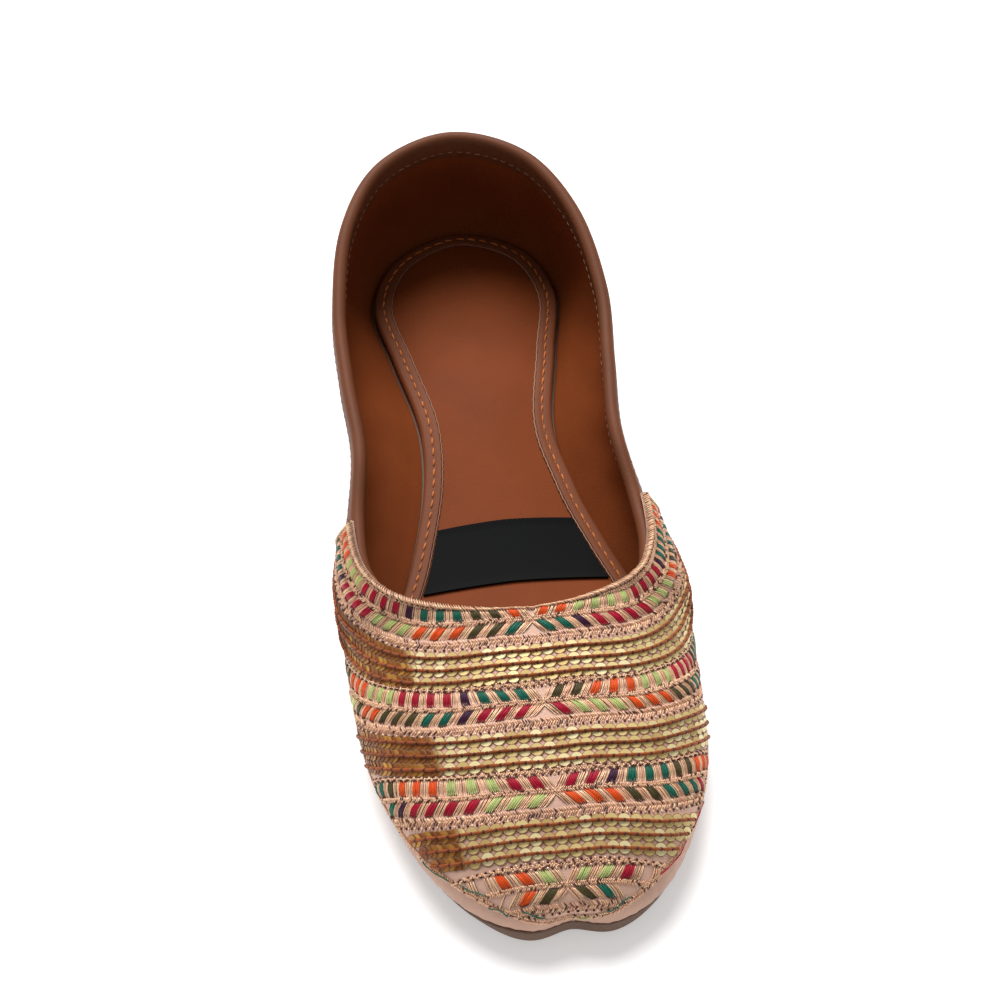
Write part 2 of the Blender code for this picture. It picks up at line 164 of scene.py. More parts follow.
# Sideways place of the sole's middle line, as a share of LAST_CURVE: along, share
MIDDLE = (
    (0.000, 1.00),
    (0.100, 0.90),
    (0.300, 0.50),
    (0.455, 1.05),
    (0.570, 0.85),
    (0.655, 0.60),
    (0.870, 0.50),
    (1.000, 0.75),
)

# Height of the vamp's plain lower band at each station to the ear, as a share of its rib
BAND = (0.20, 0.20, 0.24, 0.20, 0.15, 0.13, 0.13, 0.14, 0.15)

# The outer and the inner side of the foot, as the sign of x
LATERAL, MEDIAL = -1.0, 1.0

# Thickness of the leather under the stitches, and width of its fold at the throat's edge
THREAD_BED = 0.0013
EDGE_FOLD = 0.0007

# The last station of the edges that are whipped and stitched, and the first of the tape and the rim
WING_END = EAR_STATION - 0.03
TAPE_START = 6.62
RIM_START = 5.62

# Stations beside the throat's middle, where the surface's direction is read a little further on
BESIDE_THROAT = 0.03

# The embroidery, in millimetres. Distance from the throat to the middle of each band of colours and of
# sequins, and sideways place of the line from which the rows swell to both sides
BANDS = (3.3, 26.1, 49.3, 72.2)
SEQUIN_BANDS = (15.6, 38.6, 61.1)
ROWS_MIDDLE = 2.5

# Distance from the middle line over which the rows above a colour band close up
CLOSING = (8, 22)

# Each colour band's blocks, lateral and then medial: place of the first, pitch there and at the sides
BLOCKS = (
    ((4.4, 4.8, 3.6), (3.4, 4.6, 3.2)),
    ((5.1, 4.8, 3.6), (4.1, 4.8, 3.2)),
    ((4.6, 5.3, 3.7), (4.4, 5.0, 3.4)),
    ((4.6, 5.3, 5.0), (4.4, 5.2, 5.0)),
)

# Groups of copper threads on each side of each colour band, and where the first begins
COPPER_GROUPS = (26, 26, 26, 5)
FIRST_GROUP = 0.9

# Rows of a colour band, across it from its middle
UPPER_ROW = (-3.9, -0.6)
LOWER_ROW = (0.6, 4.1)
BORDER_BELOW = (4.4, 6.6)
DOTS_BELOW = 7.0
BORDER_ABOVE = (-5.4, -4.4)
DOTS_ABOVE = -4.15

# Threads: width, height, lift of their two ends, arch between the ends, and steps along them
THREAD_WIDTH = 0.36
THREADS = {
    "block_tip": (0.24, 0.30, (0.12, 0.05), 0.10, 3),
    "copper": (0.38, 0.36, (0.05, 0.05), 0.26, 4),
    "copper_gap_shadow": (0.22, 0.24, (0.05, 0.05), 0.16, 2),
    "rope": (THREAD_WIDTH, 0.36, (0.04, 0.04), 0.26, 3),
    "rope_gap_shadow": (THREAD_WIDTH * 0.8, 0.36, (-0.02, -0.02), 0.26, 3),
    "needle_hole": (0.72, 0.36, (0.10, 0.10), 0.16, 3),
    "between_holes": (0.70, 0.36, (0.10, 0.10), 0.16, 3),
    "whipping": (0.50, 0.50, (-1.05, 0.05), 1.00, 5),
    "whipping_gap_shadow": (0.24, 0.30, (-1.10, 0.00), 0.80, 4),
    "whipping_hole": (0.52, 0.34, (0.25, 0.25), 0.10, 3),
    "edge_row": (THREAD_WIDTH, 0.34, (0.05, 0.05), 0.26, 3),
    "tie": (0.92, 0.36, (0.35, 0.35), 0.52, 4),
}

# Pitches of the rows, and sizes of the sequins and cords
BLOCK_SHARE = 0.47
ROPE_PITCH = 0.62
BRAID_PITCH = 0.54
DOT_PITCH = 2.1
EDGING_WIDTH = 1.1
EDGING_PITCH = 0.70
CORD_PITCH = 3.4
CORD_RADIUS = 0.41
SEQUIN_PITCH = 3.1
SEQUIN_RADIUS = 1.78
SEQUIN_LIFT = 0.28
CORD_LIFT = 0.56
SMOOTHING = 3.5

# Running stitches: length, pitch, radius, how deep their ends dive, lean
RIM_STITCH = (2.7, 3.5, 0.31, 0.30, 0.14)
OUTER_STITCH = (1.9, 2.7, 0.08, 0.20, 0.0)
INNER_STITCH = (1.9, 2.7, 0.16, 0.20, 0.0)

# Where the seams run, as a share of the rim's width and of the tape's depth
RIM_SEAM = 0.53
TAPE_SEAM = 0.62

# Where the sequins take a painted amber reflection of dark surroundings and crowd, in metres across the shoe,
# and how that line slants
AMBER_REFLECTION_FROM = -0.0373
AMBER_REFLECTION_SLANT = 0.15

# Colours of the blocks from the middle line outward. A row: band, upper or lower, lateral, medial
CHART = (
    (0, "upper", "OVVTTTPCCCCGGGOOOVVTT", "OOGGGGCCCCPTTTTOOOGGG"),
    (0, "lower", "TVVOOOGGGCCCCPTTTVVOO", "TTPCCCCGGGOOVVTTTPCCC"),
    (1, "upper", "TTTPCCCCGGGOOOVVVTTPC", "VVOOOGGGCCCCPTTTTVVOO"),
    (1, "lower", "CCCPTTVVVOOVGGCCCPTTT", "CGGGOOOVVVTTPCCGGGOOO"),
    (2, "upper", "CCGGGOOOVTTPCCGGGOOVV", "CCPTTTVVOOOGGGCCPTTTV"),
    (2, "lower", "GGGCCCCPTTVVOOGGGCCPT", "OOOVVTTTCCPGGOOVVTTCC"),
    (3, "upper", "GOO", "GGC"),
    (3, "lower", "VO", "VT"),
)
SILKS = {
    "C": ("crimson", (0.42, 0.006, 0.030)),
    "T": ("teal", (0.010, 0.130, 0.085)),
    "V": ("olive", (0.078, 0.060, 0.020)),
    "O": ("orange", (0.76, 0.090, 0.012)),
    "G": ("light_green", (0.50, 0.56, 0.20)),
    "P": ("plum", (0.055, 0.013, 0.042)),
}

# Loose threads at the toe. A row: silk, place from the middle, length, height over the band
LOOSE = (
    ("T", -41, 9, 0.4),
    ("T", -28, 6, 1.9),
    ("T", -20, 5, 0.2),
    ("T", -12, 6, 2.2),
    ("C", 27, 12, 0.3),
    ("C", 44, 9, 0.2),
    ("T", 10, 7, 1.6),
    ("G", 2, 4, 0.6),
)

# The photograph's camera, in the shoe's frame: where it stands, and its focal length in pixels
CAMERA_PLACE = (-0.0548, -0.4349, 0.5362)
CAMERA_PIXELS = 2505
FRAME_PIXELS = 1000
SENSOR = 36.0

# Where the light comes from, its strength and its width in degrees
LIGHT_FROM = (-0.08, 0.75, 1.0)
SUN_STRENGTH = 4.0
SUN_WIDTH = 38

# The pale room round the shoe, and the floor's half width and glow
ROOM_STRENGTH = 0.28
FLOOR_HALF = 60.0
FLOOR_GLOW = 0.40


def smooth(low, high, value):
    """0 below low, 1 above high and an even S between."""
    t = np.clip((value - low) / (high - low), 0.0, 1.0)
    return t * t * (3 - 2 * t)


def bell(value, middle, width):
    return np.exp(-(((value - middle) / width) ** 2))


def vec(x, y, z):
    return np.stack(np.broadcast_arrays(*(np.asarray(n, float) for n in (x, y, z))), -1)


def unit(v):
    return v / np.maximum(np.linalg.norm(v, axis=-1, keepdims=True), 1e-12)


def along_rows(rows, place, mirrored_start=False, mirrored_end=False):
    """A table's columns at places between its rows, 0 being the first row, on smooth curves."""
    table = np.array(rows, float)
    sign = np.ones(table.shape[1])
    sign[1:2] = -1
    before = table[1] * sign if mirrored_start else 2 * table[0] - table[1]
    after = table[-2] * sign if mirrored_end else 2 * table[-1] - table[-2]
    table = np.vstack([before, table, after])
    place = np.clip(np.asarray(place, float), 0, len(rows) - 1)
    i = np.minimum(place.astype(int), len(rows) - 2)
    t = (place - i)[..., None]
    p0, p1, p2, p3 = (table[i + n] for n in range(4))
    a, b = (p2 - p0) / 2, (p3 - p1) / 2
    t2, t3 = t * t, t * t * t
    value = (2 * t3 - 3 * t2 + 1) * p1 + (t3 - 2 * t2 + t) * a + (3 * t2 - 2 * t3) * p2 + (t3 - t2) * b
    return np.moveaxis(value, -1, 0)


def share_of(y):
    return y / SOLE_LENGTH + 0.5


def y_of(share):
    return (share - 0.5) * SOLE_LENGTH


def middle(y):
    """Sideways place of the sole's middle line at y."""
    share = np.clip(share_of(y), MIDDLE[0][0], MIDDLE[-1][0])
    table = np.array(MIDDLE)
    i = np.clip(np.searchsorted(table[:, 0], share, side="right") - 1, 0, len(table) - 2)
    low, high = table[i], table[i + 1]
    step = smooth(low[..., 0], high[..., 0], share)
    return LAST_CURVE * (low[..., 1] + (high[..., 1] - low[..., 1]) * step)


def sole_top(y):
    share = share_of(y)
    spring = np.maximum(0.0, (SPRING_END - share) / SPRING_END)
    return SOLE_THICKNESS + TOE_SPRING * spring**2 + HEEL_LIFT * smooth(LIFT_START, LIFT_END, share)


def foot_plan(station):
    """The foot line in plan, before it curves to one side: half width, y, and middle y."""
    share, half, mid = along_rows(FOOT, station, mirrored_start=True, mirrored_end=True)
    return half, y_of(share), y_of(mid)


def plan_out(station, side):
    """Level direction out of the shoe, square to the foot line."""
    step = 0.02
    low, high = np.maximum(station - step, 0.0), np.minimum(station + step, LAST_STATION)
    half_a, y_a, _ = foot_plan(low)
    half_b, y_b, _ = foot_plan(high)
    x, y = side * (half_b - half_a), y_b - y_a
    x = np.where(low == 0.0, side, np.where(high == LAST_STATION, -side, x))
    y = np.where((low == 0.0) | (high == LAST_STATION), 0.0, y)
    size = np.hypot(x, y)
    return vec(y / size * side, -x / size * side, 0.0)


def edge_point(station, side):
    """The top line: the ridge as far as the throat, and the open edge behind it."""
    share, height = along_rows(RIDGE, station)
    toe, throat = middle(y_of(RIDGE[0][0])), LAST_CURVE * EDGE[0][3]
    ridge = vec(toe + (throat - toe) * station / THROAT_STATION, y_of(share), height)
    behind = station - THROAT_STATION
    share, half, height, mid = along_rows(EDGE, behind, mirrored_start=True, mirrored_end=True)
    edge = vec(side * half + LAST_CURVE * mid, y_of(share), height)
    return np.where((station <= THROAT_STATION)[..., None], ridge, edge)


def down_ridge(station):
    step = 0.05
    station = np.clip(station, step, THROAT_STATION)
    return unit(edge_point(station - step, MEDIAL) - edge_point(station, MEDIAL))


def rib(station, side, v):
    """Points of the upper's outside, v going from 0 at the sole to 1 at the top line."""
    station, side, v = np.broadcast_arrays(*(np.asarray(n, float) for n in (station, side, v)))
    half, y, _ = foot_plan(station)
    foot = vec(side * half + middle(y), y, sole_top(y) + GAP)
    top = edge_point(station, side)
    rise, flare, lean, reach = along_rows(RIB, station)
    fullness = np.where(side == LATERAL, OUTER_FULLNESS, INNER_FULLNESS)
    flare = flare * (1 + (fullness - 1) * smooth(0.0, 3.0, station) * (1 - smooth(10.0, 13.0, station)))
    out = plan_out(station, side)
    front = station <= THROAT_STATION
    turn = smooth(0.0, 1.5, station)[..., None]
    over = unit(vec(side, 0.0, 0.0) * turn + down_ridge(station) * (1 - turn))
    top_out = np.where(front[..., None], over, out)
    lean = np.radians(np.where(front, RIB[0][2], lean))[..., None]
    height = (top[..., 2] - foot[..., 2])[..., None]
    span = np.linalg.norm(top - foot, axis=-1, keepdims=True)
    low = foot + vec(0, 0, 1) * rise[..., None] * height + out * flare[..., None] * height
    high = top + (top_out * np.sin(lean) + vec(0, 0, -1) * np.cos(lean)) * reach[..., None] * span
    v = v[..., None]
    w = 1.0 - v
    return foot * w**3 + low * (3 * w * w * v) + high * (3 * w * v * v) + top * v**3


def outward(station, side, v):
    """Direction out of the upper's surface."""
    station, side, v = np.broadcast_arrays(*(np.asarray(n, float) for n in (station, side, v)))
    beside = (station > THROAT_STATION) & (station < THROAT_STATION + BESIDE_THROAT)
    station = np.where(beside, THROAT_STATION + BESIDE_THROAT, station)
    step = 0.01
    a, b = np.maximum(station - step, 0.0), np.minimum(station + step, LAST_STATION)
    b = np.where((station <= THROAT_STATION) & (b > THROAT_STATION), station, b)
    a = np.where((station > THROAT_STATION) & (a < THROAT_STATION), station, a)
    low, high = np.maximum(v - step, 0.0), np.minimum(v + step, 1.0)
    along = rib(b, side, v) - rib(a, side, v)
    up = rib(station, side, high) - rib(station, side, low)
    ends = (station == 0.0) | (station == LAST_STATION)
    across = vec(np.where(station == 0.0, side, -side), 0.0, 0.0)
    along = np.where(ends[..., None], across, along)
    on_ridge = (v == 1.0) & (station > 0.0) & (station <= THROAT_STATION)
    up = np.where(on_ridge[..., None], vec(-side, 0.0, 0.0), up)
    out = unit(np.cross(along, up) * side[..., None])
    blend = smooth(0.0, 0.2, v)[..., None]
    return unit(plan_out(station, side) * (1 - blend) + out * blend)


def skin(station, side, v, offset):
    """Points that far outside the upper's surface, or inside it where offset is below 0."""
    return rib(station, side, v) + outward(station, side, v) * np.asarray(offset, float)[..., None]


def band_share(station):
    rows = [(share,) for share in BAND]
    return along_rows(rows, np.minimum(station, len(BAND) - 1))[0]


def tuck(station):
    """How far the upper's edge drops under the wings of the vamp, as a share of the rib."""
    return 0.07 * smooth(5.9, 6.7, station) * (1 - smooth(EAR_STATION - 0.2, EAR_STATION + 1.0, station))


def vamp_gap(station, v):
    """Room under the vamp, which at the top of its wings lies over the collar's binding."""
    return GAP + (BINDING_WALL + GAP) * smooth(4.6, 6.6, station) * smooth(0.35, 0.75, v)


# Meshes
def put(name, data):
    """A new object in the scene."""
    thing = bpy.data.objects.new(name, data)
    bpy.context.scene.collection.objects.link(thing)
    return thing


def new_piece(name, points, faces, materials, replaced=(), face_material=None):
    """A mesh of quads that rides on the shoe's one body."""
    mesh = bpy.data.meshes.new(name)
    points = np.asarray(points, np.float32)
    faces = np.asarray(faces, np.int32)
    mesh.vertices.add(len(points))
    mesh.vertices.foreach_set("co", points.ravel())
    mesh.loops.add(faces.size)
    mesh.loops.foreach_set("vertex_index", faces.ravel())
    mesh.polygons.add(len(faces))
    mesh.polygons.foreach_set("loop_start", np.arange(0, faces.size, faces.shape[1], dtype=np.int32))
    if face_material is not None:
        mesh.polygons.foreach_set("material_index", np.asarray(face_material, np.int32))
    for material in materials:
        mesh.materials.append(material)
    mesh.update(calc_edges=True)
    mesh.validate()
    mesh.shade_smooth()
    thing = put(name, mesh)
    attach(thing, "root")
    if replaced:
        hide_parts(*replaced)
    return thing


def sewn(thing, sharp=50.0):
    """Joins points that coincide, drops faces that collapse and turns all normals outward."""
    form = bmesh.new()
    form.from_mesh(thing.data)
    bmesh.ops.remove_doubles(form, verts=form.verts, dist=2e-6)
    bmesh.ops.recalc_face_normals(form, faces=form.faces)
    form.to_mesh(thing.data)
    form.free()
    thing.data.shade_smooth()
    thing.data.set_sharp_from_angle(angle=math.radians(sharp))
    return thing


def grid_faces(rows, columns, start=0, turned=False, closed=False):
    """Quads over a grid of points, row by row. closed joins the last column to the first."""
    i = np.arange(rows - 1)[:, None]
    j = np.arange(columns if closed else columns - 1)[None, :]
    k = (j + 1) % columns
    corners = [i * columns + j, (i + 1) * columns + j, (i + 1) * columns + k, i * columns + k]
    faces = np.stack([np.broadcast_to(c, (rows - 1, j.shape[1])) for c in corners], -1).reshape(-1, 4) + start
    return faces[:, ::-1] if turned else faces


def walls(skin_of, joins, sides=(LATERAL, MEDIAL)):
    """Points and faces of a wall on each side. skin_of(side, outer) gives a grid of points for each of its
    two skins, and joins picks the lines of the grid along which they are closed off."""
    points, faces, start = [], [], 0
    for side in sides:
        outer, inner = skin_of(side, True), skin_of(side, False)
        rows, columns, _ = outer.shape
        count = rows * columns
        points += [outer.reshape(-1, 3), inner.reshape(-1, 3)]
        faces.append(grid_faces(rows, columns, start, side == LATERAL))
        faces.append(grid_faces(rows, columns, start + count, side == MEDIAL))
        numbers = np.arange(start, start + count).reshape(rows, columns)
        for line in joins:
            edge = numbers[line]
            faces.append(np.stack([edge[:-1], edge[1:], edge[1:] + count, edge[:-1] + count], -1))
        start += 2 * count
    return np.vstack(points), np.vstack(faces)


def joined(halves):
    """One line from the two sides' lines, lateral first, which both end at the same place."""
    return np.vstack([halves[0], halves[1][::-1][1:]])


# Materials
class Paint:
    """A material in the making."""

    def __init__(self, name):
        self.material = bpy.data.materials.new(name)
        self.material.use_nodes = True
        self.nodes = self.material.node_tree.nodes
        self.links = self.material.node_tree.links

    def feed(self, node, inputs):
        """Links or sets a node's inputs by name."""
        for name, value in inputs.items():
            if isinstance(value, bpy.types.NodeSocket):
                self.links.new(value, node.inputs[name])
            else:
                node.inputs[name].default_value = value
        return node

    def node(self, kind, inputs):
        return self.feed(self.nodes.new(kind), inputs)

    def texture(self, kind, scale, detail=2.0):
        """A texture in the object's own coordinates, scale being features per metre."""
        place = self.nodes.new("ShaderNodeTexCoord").outputs["Object"]
        made = self.node(kind, {"Vector": place, "Scale": scale})
        if "Detail" in made.inputs:
            made.inputs["Detail"].default_value = detail
        return made

    def ramp(self, source, stops):
        """Colours along a value: stops are (place, colour)."""
        made = self.node("ShaderNodeValToRGB", {"Fac": source})
        points = made.color_ramp.elements
        while len(points) < len(stops):
            points.new(0.5)
        for point, (place, colour) in zip(points, stops):
            point.position = place
            point.color = (*colour, 1.0)
        return made.outputs["Color"]

    def mixed(self, first, second, factor):
        made = self.nodes.new("ShaderNodeMix")
        made.data_type = "RGBA"
        self.feed(made, {"A": first, "B": second, "Factor": factor})
        return made.outputs["Result"]

    def own_tone(self):
        """A random value for each separate thread or sequin."""
        return self.nodes.new("ShaderNodeNewGeometry").outputs["Random Per Island"]

    def finished(self, inputs, bumps=()):
        """The material, its shader fed. bumps are (height output, distance in metres, strength)."""
        shader = self.feed(self.nodes["Principled BSDF"], inputs)
        last = None
        for height, distance, strength in bumps:
            bump = self.node("ShaderNodeBump", {"Distance": distance, "Strength": strength, "Height": height})
            if last is not None:
                self.links.new(last, bump.inputs["Normal"])
            last = bump.outputs["Normal"]
        if last is not None:
            self.links.new(last, shader.inputs["Normal"])
        return self.material


def shade(colour, factor):
    return tuple(min(channel * factor, 1.0) for channel in colour)


def leather(name, colour, roughness, metallic=0.0, grain=2600, depth=0.00006, blotch=0.16, shine=0.3):
    """Fine pebbled leather with slow changes of colour and gloss."""
    paint = Paint(name)
    cells = paint.texture("ShaderNodeTexVoronoi", grain).outputs["Distance"]
    fine = paint.texture("ShaderNodeTexNoise", grain * 2.2, 4.0).outputs["Fac"]
    slow = paint.texture("ShaderNodeTexNoise", 55, 5.0).outputs["Fac"]
    stops = [(0.30, shade(colour, 1 - blotch)), (0.52, colour), (0.75, shade(colour, 1 + blotch))]
    pores = paint.ramp(cells, [(0.0, shade(colour, 0.72)), (0.5, colour)])
    gloss = {"Value": fine, "To Min": roughness - 0.08, "To Max": roughness + 0.10}
    inputs = {
        "Base Color": paint.mixed(paint.ramp(slow, stops), pores, 0.35),
        "Roughness": paint.node("ShaderNodeMapRange", gloss).outputs["Result"],
        "Metallic": metallic,
        "Specular IOR Level": shine,
    }
    return paint.finished(inputs, [(cells, depth, 0.7), (fine, depth / 2, 0.6)])


def thread(name, colour, roughness=0.42, metallic=0.0, spread=0.25, shine=0.18):
    """Twisted thread: each strand has its own tone, with fine fibres along it."""
    paint = Paint(name)
    stops = [(0.0, shade(colour, 1 - spread)), (0.5, colour), (1.0, shade(colour, 1 + spread))]
    fibre = paint.texture("ShaderNodeTexNoise", 4200, 3.0).outputs["Fac"]
    tone = paint.ramp(fibre, [(0.33, shade(colour, 0.42)), (0.6, shade(colour, 1.3))])
    inputs = {
        "Base Color": paint.mixed(paint.ramp(paint.own_tone(), stops), tone, 0.40),
        "Roughness": roughness,
        "Metallic": metallic,
        "Sheen Weight": 0.05,
        "Specular IOR Level": shine,
    }
    return paint.finished(inputs, [(fibre, 0.00008, 0.8)])


def sequin_gold(name):
    """Thin gilded film, with a painted amber reflection of dark surroundings toward the outer side of the
    foot.
    """
    paint = Paint(name)
    own = paint.own_tone()
    pale = paint.ramp(own, [(0.0, (0.64, 0.44, 0.17)), (0.5, (0.87, 0.67, 0.29)), (1.0, (1.0, 0.88, 0.50))])
    # The amber colours are a painted reflection of dark surroundings, laid on by place across the shoe
    stops = [(0.0, (0.20, 0.058, 0.013)), (0.6, (0.34, 0.110, 0.019)), (1.0, (0.62, 0.32, 0.05))]
    place = paint.nodes.new("ShaderNodeTexCoord").outputs["Object"]
    across = paint.nodes.new("ShaderNodeVectorMath")
    across.operation = "DOT_PRODUCT"
    across.inputs[1].default_value = (1.0, AMBER_REFLECTION_SLANT, 0.0)
    paint.links.new(place, across.inputs[0])
    border = {"Value": across.outputs["Value"], "From Min": AMBER_REFLECTION_FROM + MM, "From Max": AMBER_REFLECTION_FROM - MM}
    where = paint.node("ShaderNodeMapRange", border).outputs["Result"]
    inputs = {
        "Base Color": paint.mixed(pale, paint.ramp(own, stops), where),
        "Metallic": 0.30,
        "Roughness": 0.38,
        "Specular IOR Level": 0.3,
    }
    return paint.finished(inputs)


def ribbon_black(name):
    """Black twill: fine diagonal ribs."""
    paint = Paint(name)
    ribs = paint.texture("ShaderNodeTexWave", 620, 1.0)
    ribs.bands_direction = "DIAGONAL"
    ribs.inputs["Distortion"].default_value = 0.4
    height = ribs.outputs["Fac"]
    colour = paint.ramp(height, [(0.0, (0.0012, 0.0013, 0.0015)), (1.0, (0.0065, 0.007, 0.007))])
    inputs = {"Base Color": colour, "Roughness": 0.65, "Specular IOR Level": 0.07}
    return paint.finished(inputs, [(height, 0.00008, 0.8)])


def paints():
    """Every material of the shoe by name."""
    made = {
        "rose": leather("rose_gold_leather", (0.74, 0.46, 0.35), 0.48, 0.10, grain=2200),
        # A darker copy of the rose leather for the plain band: painted shade, as the band faces away from the
        # light
        "rose_band_painted_shade": leather("rose_gold_band_painted_shade", (0.56, 0.335, 0.245), 0.48, 0.10, grain=1800, blotch=0.22),
        "lining": leather("lining_leather", (0.230, 0.053, 0.013), 0.50, grain=3000, shine=0.14),
        "quarter": leather("quarter_leather", (0.170, 0.060, 0.027), 0.50, grain=2400, shine=0.2),
        "binding": leather("binding_leather", (0.160, 0.051, 0.021), 0.52, grain=2800, shine=0.16),
        "insole": leather("insole_leather", (0.205, 0.045, 0.0100), 0.54, grain=2600, shine=0.07),
        "rim": leather("rim_leather", (0.190, 0.056, 0.021), 0.52, grain=2800, shine=0.14),
        "sole": leather("sole_leather", (0.19, 0.118, 0.086), 0.66, grain=1500, depth=0.0001, shine=0.2),
        "raw_edge": leather("raw_edge", (0.38, 0.22, 0.15), 0.8, grain=4000),
        "copper": thread("copper_thread", (0.95, 0.50, 0.30), 0.32, metallic=0.2, spread=0.5, shine=0.6),
        "rust": thread("rust_cord", (0.28, 0.068, 0.017), 0.5),
        # Dark thread of the ties and dots, also used as painted shadow in the gaps between threads
        "knot_and_shadow": thread("dark_thread_and_shadow", (0.105, 0.032, 0.020), 0.6),
        "stitch": thread("orange_stitch", (0.58, 0.17, 0.035), 0.5),
        "tan": thread("tan_stitch", (0.33, 0.17, 0.10), 0.5),
        "sequin": sequin_gold("sequin_gold"),
        # Dark edge ring of the sequins: partly the rolled rim's colour, partly painted shadow where the discs
        # overlap
        "outline": leather("sequin_rim_and_shadow", (0.26, 0.13, 0.055), 0.45),
        "ribbon": ribbon_black("ribbon_black"),
    }
    for letter, (name, colour) in SILKS.items():
        made[letter] = thread("silk_" + name, colour, 0.40, spread=0.22)
    return made


PAINT = paints()


# Leather pieces
def throat_line(spare):
    """The vamp's open edge on the bed that carries the stitches, run on straight past the ears."""
    stations = np.linspace(THROAT_STATION, EAR_STATION, 260)
    halves = []
    for side in (LATERAL, MEDIAL):
        edge = skin(stations, side, 1.0, vamp_gap(stations, 1.0) + THREAD_BED)
        onward = unit(edge[-1] - edge[-12]) * np.linspace(0, spare, 40)[1:, None]
        halves.append(np.vstack([edge, edge[-1] + onward]))
    return np.vstack([halves[0][::-1], halves[1][1:]])


THROAT = throat_line(spare=0.03)


def from_throat(points):
    """Distance of each point from the throat's edge, and the direction away from it."""
    flat = points.reshape(-1, 3)
    nearest = np.empty(len(flat), int)
    at_once = 4000
    for start in range(0, len(flat), at_once):
        part = flat[start : start + at_once]
        gaps = ((part[:, None, :] - THROAT[None, :, :]) ** 2).sum(-1)
        nearest[start : start + at_once] = gaps.argmin(1)
    begin = THROAT[nearest]
    best = flat - begin
    for way in (-1, 1):
        leg = THROAT[np.clip(nearest + way, 0, len(THROAT) - 1)] - begin
        share = ((flat - begin) * leg).sum(-1) / np.maximum((leg**2).sum(-1), 1e-12)
        other = flat - begin - leg * np.clip(share, 0, 1)[:, None]
        closer = (other**2).sum(-1) < (best**2).sum(-1)
        best = np.where(closer[:, None], other, best)
    distance = np.linalg.norm(best, axis=-1)
    return distance.reshape(points.shape[:-1]), unit(best).reshape(points.shape)


def toe_wrinkles(station, side, v):
    """Upright pleats where the plain band is drawn in under the toe."""
    drawn = smooth(4.4, 2.2, station) * smooth(0.34, 0.10, v)
    ripple = np.sin(station * 23.0 + side * 1.3) + 0.7 * np.sin(station * 37.0 + side * 0.7 + v * 9)
    return 0.00006 * drawn * ripple


def vamp_face(station, side, v, outer):
    gap = vamp_gap(station, v)
    if not outer:
        return skin(station, side, v, gap)
    raised = smooth(-0.012, 0.012, v - band_share(station))
    thick = VAMP_PLAIN + (THREAD_BED - VAMP_PLAIN) * raised
    near, _ = from_throat(skin(station, side, v, gap + thick))
    fold = np.clip(near / EDGE_FOLD, 0.0, 1.0)
    thick = thick * np.sqrt(1 - (1 - fold) ** 2 * 0.75)
    return skin(station, side, v, gap + thick + toe_wrinkles(station, side, v))


def make_vamp_base():
    """The rose leather of the front: a plain band below, and the bed of the embroidery above it."""
    front = np.linspace(0, THROAT_STATION, 131)
    wing = THROAT_STATION + (EAR_STATION - THROAT_STATION) * np.linspace(0, 1, 81)[1:] ** 1.3
    stations = np.concatenate([front, wing])
    band = band_share(stations)[:, None]
    low = np.linspace(0, 1, 12)[None, :-1]
    high = np.linspace(0, 1, 44)[None, :]
    levels = np.hstack([band * low, band + (1 - band) * (1 - (1 - high) ** 1.15)])
    levels[:, -1] = 1.0
    places = np.broadcast_to(stations[:, None], levels.shape)
    joins = [np.s_[:, 0], np.s_[len(front) - 1 :, -1], np.s_[-1]]
    points, faces = walls(lambda side, outer: vamp_face(places, side, levels, outer), joins)
    column = faces % levels.shape[1]
    plain = (column <= low.shape[1]).all(axis=1).astype(int)
    # The plain band takes the darker copy of the rose leather, which is painted shade
    paint = [PAINT["rose"], PAINT["rose_band_painted_shade"]]
    return sewn(new_piece("vamp_leather", points, faces, paint, ["vamp"], plain))


def upper_face(station, side, v, outer):
    if outer:
        return skin(station, side, v, 0.0)
    reach = smooth(0.1, 0.4, v) * smooth(1.0, 0.8, v)
    soft = 0.00022 * np.sin(station * 5.1 + side) * np.sin(v * 7 + station * 2.3) * reach
    return skin(station, side, v, soft - UPPER_WALL)


def make_upper():
    """The leather body: brown outside, lined with smooth red-brown leather."""
    front = np.linspace(0, THROAT_STATION, 51)
    stations = np.concatenate([front, np.linspace(THROAT_STATION, LAST_STATION, 141)[1:]])
    levels = np.linspace(0, 1, 32)[None, :] * (1 - tuck(stations))[:, None]
    places = np.broadcast_to(stations[:, None], levels.shape)
    joins = [np.s_[:, 0], np.s_[len(front) - 1 :, -1]]
    points, faces = walls(lambda side, outer: upper_face(places, side, levels, outer), joins)
    inner = ((faces // levels.size) % 2 == 1).all(axis=1).astype(int)
    paint = [PAINT["quarter"], PAINT["lining"]]
    return sewn(new_piece("upper_leather", points, faces, paint, ["upper"], inner))


def binding_sheet(stations, side, turns, reach):
    """The tape folded over the collar: down the outside, round the edge and down the inside."""
    top = 1.0 - tuck(stations)
    length = np.linalg.norm(rib(stations, side, top) - rib(stations, side, 0.0), axis=-1)
    out = outward(stations, side, top)
    up = unit(rib(stations, side, top) - rib(stations, side, top - 0.02))
    centre = skin(stations, side, top, -UPPER_WALL / 2)
    rows = []
    for turn in turns:
        if 0 <= turn <= 1:
            angle = math.pi * turn
            rows.append(centre + (out * math.cos(angle) + up * math.sin(angle)) * (UPPER_WALL / 2 + reach))
            continue
        down = -turn if turn < 0 else turn - 1
        close = reach - 0.35 * MM * smooth(0.55, 1.0, down)
        offset = close if turn < 0 else -UPPER_WALL - close
        rows.append(skin(stations, side, top - down * BINDING_DEPTH / length, offset))
    return np.stack(rows, 1)


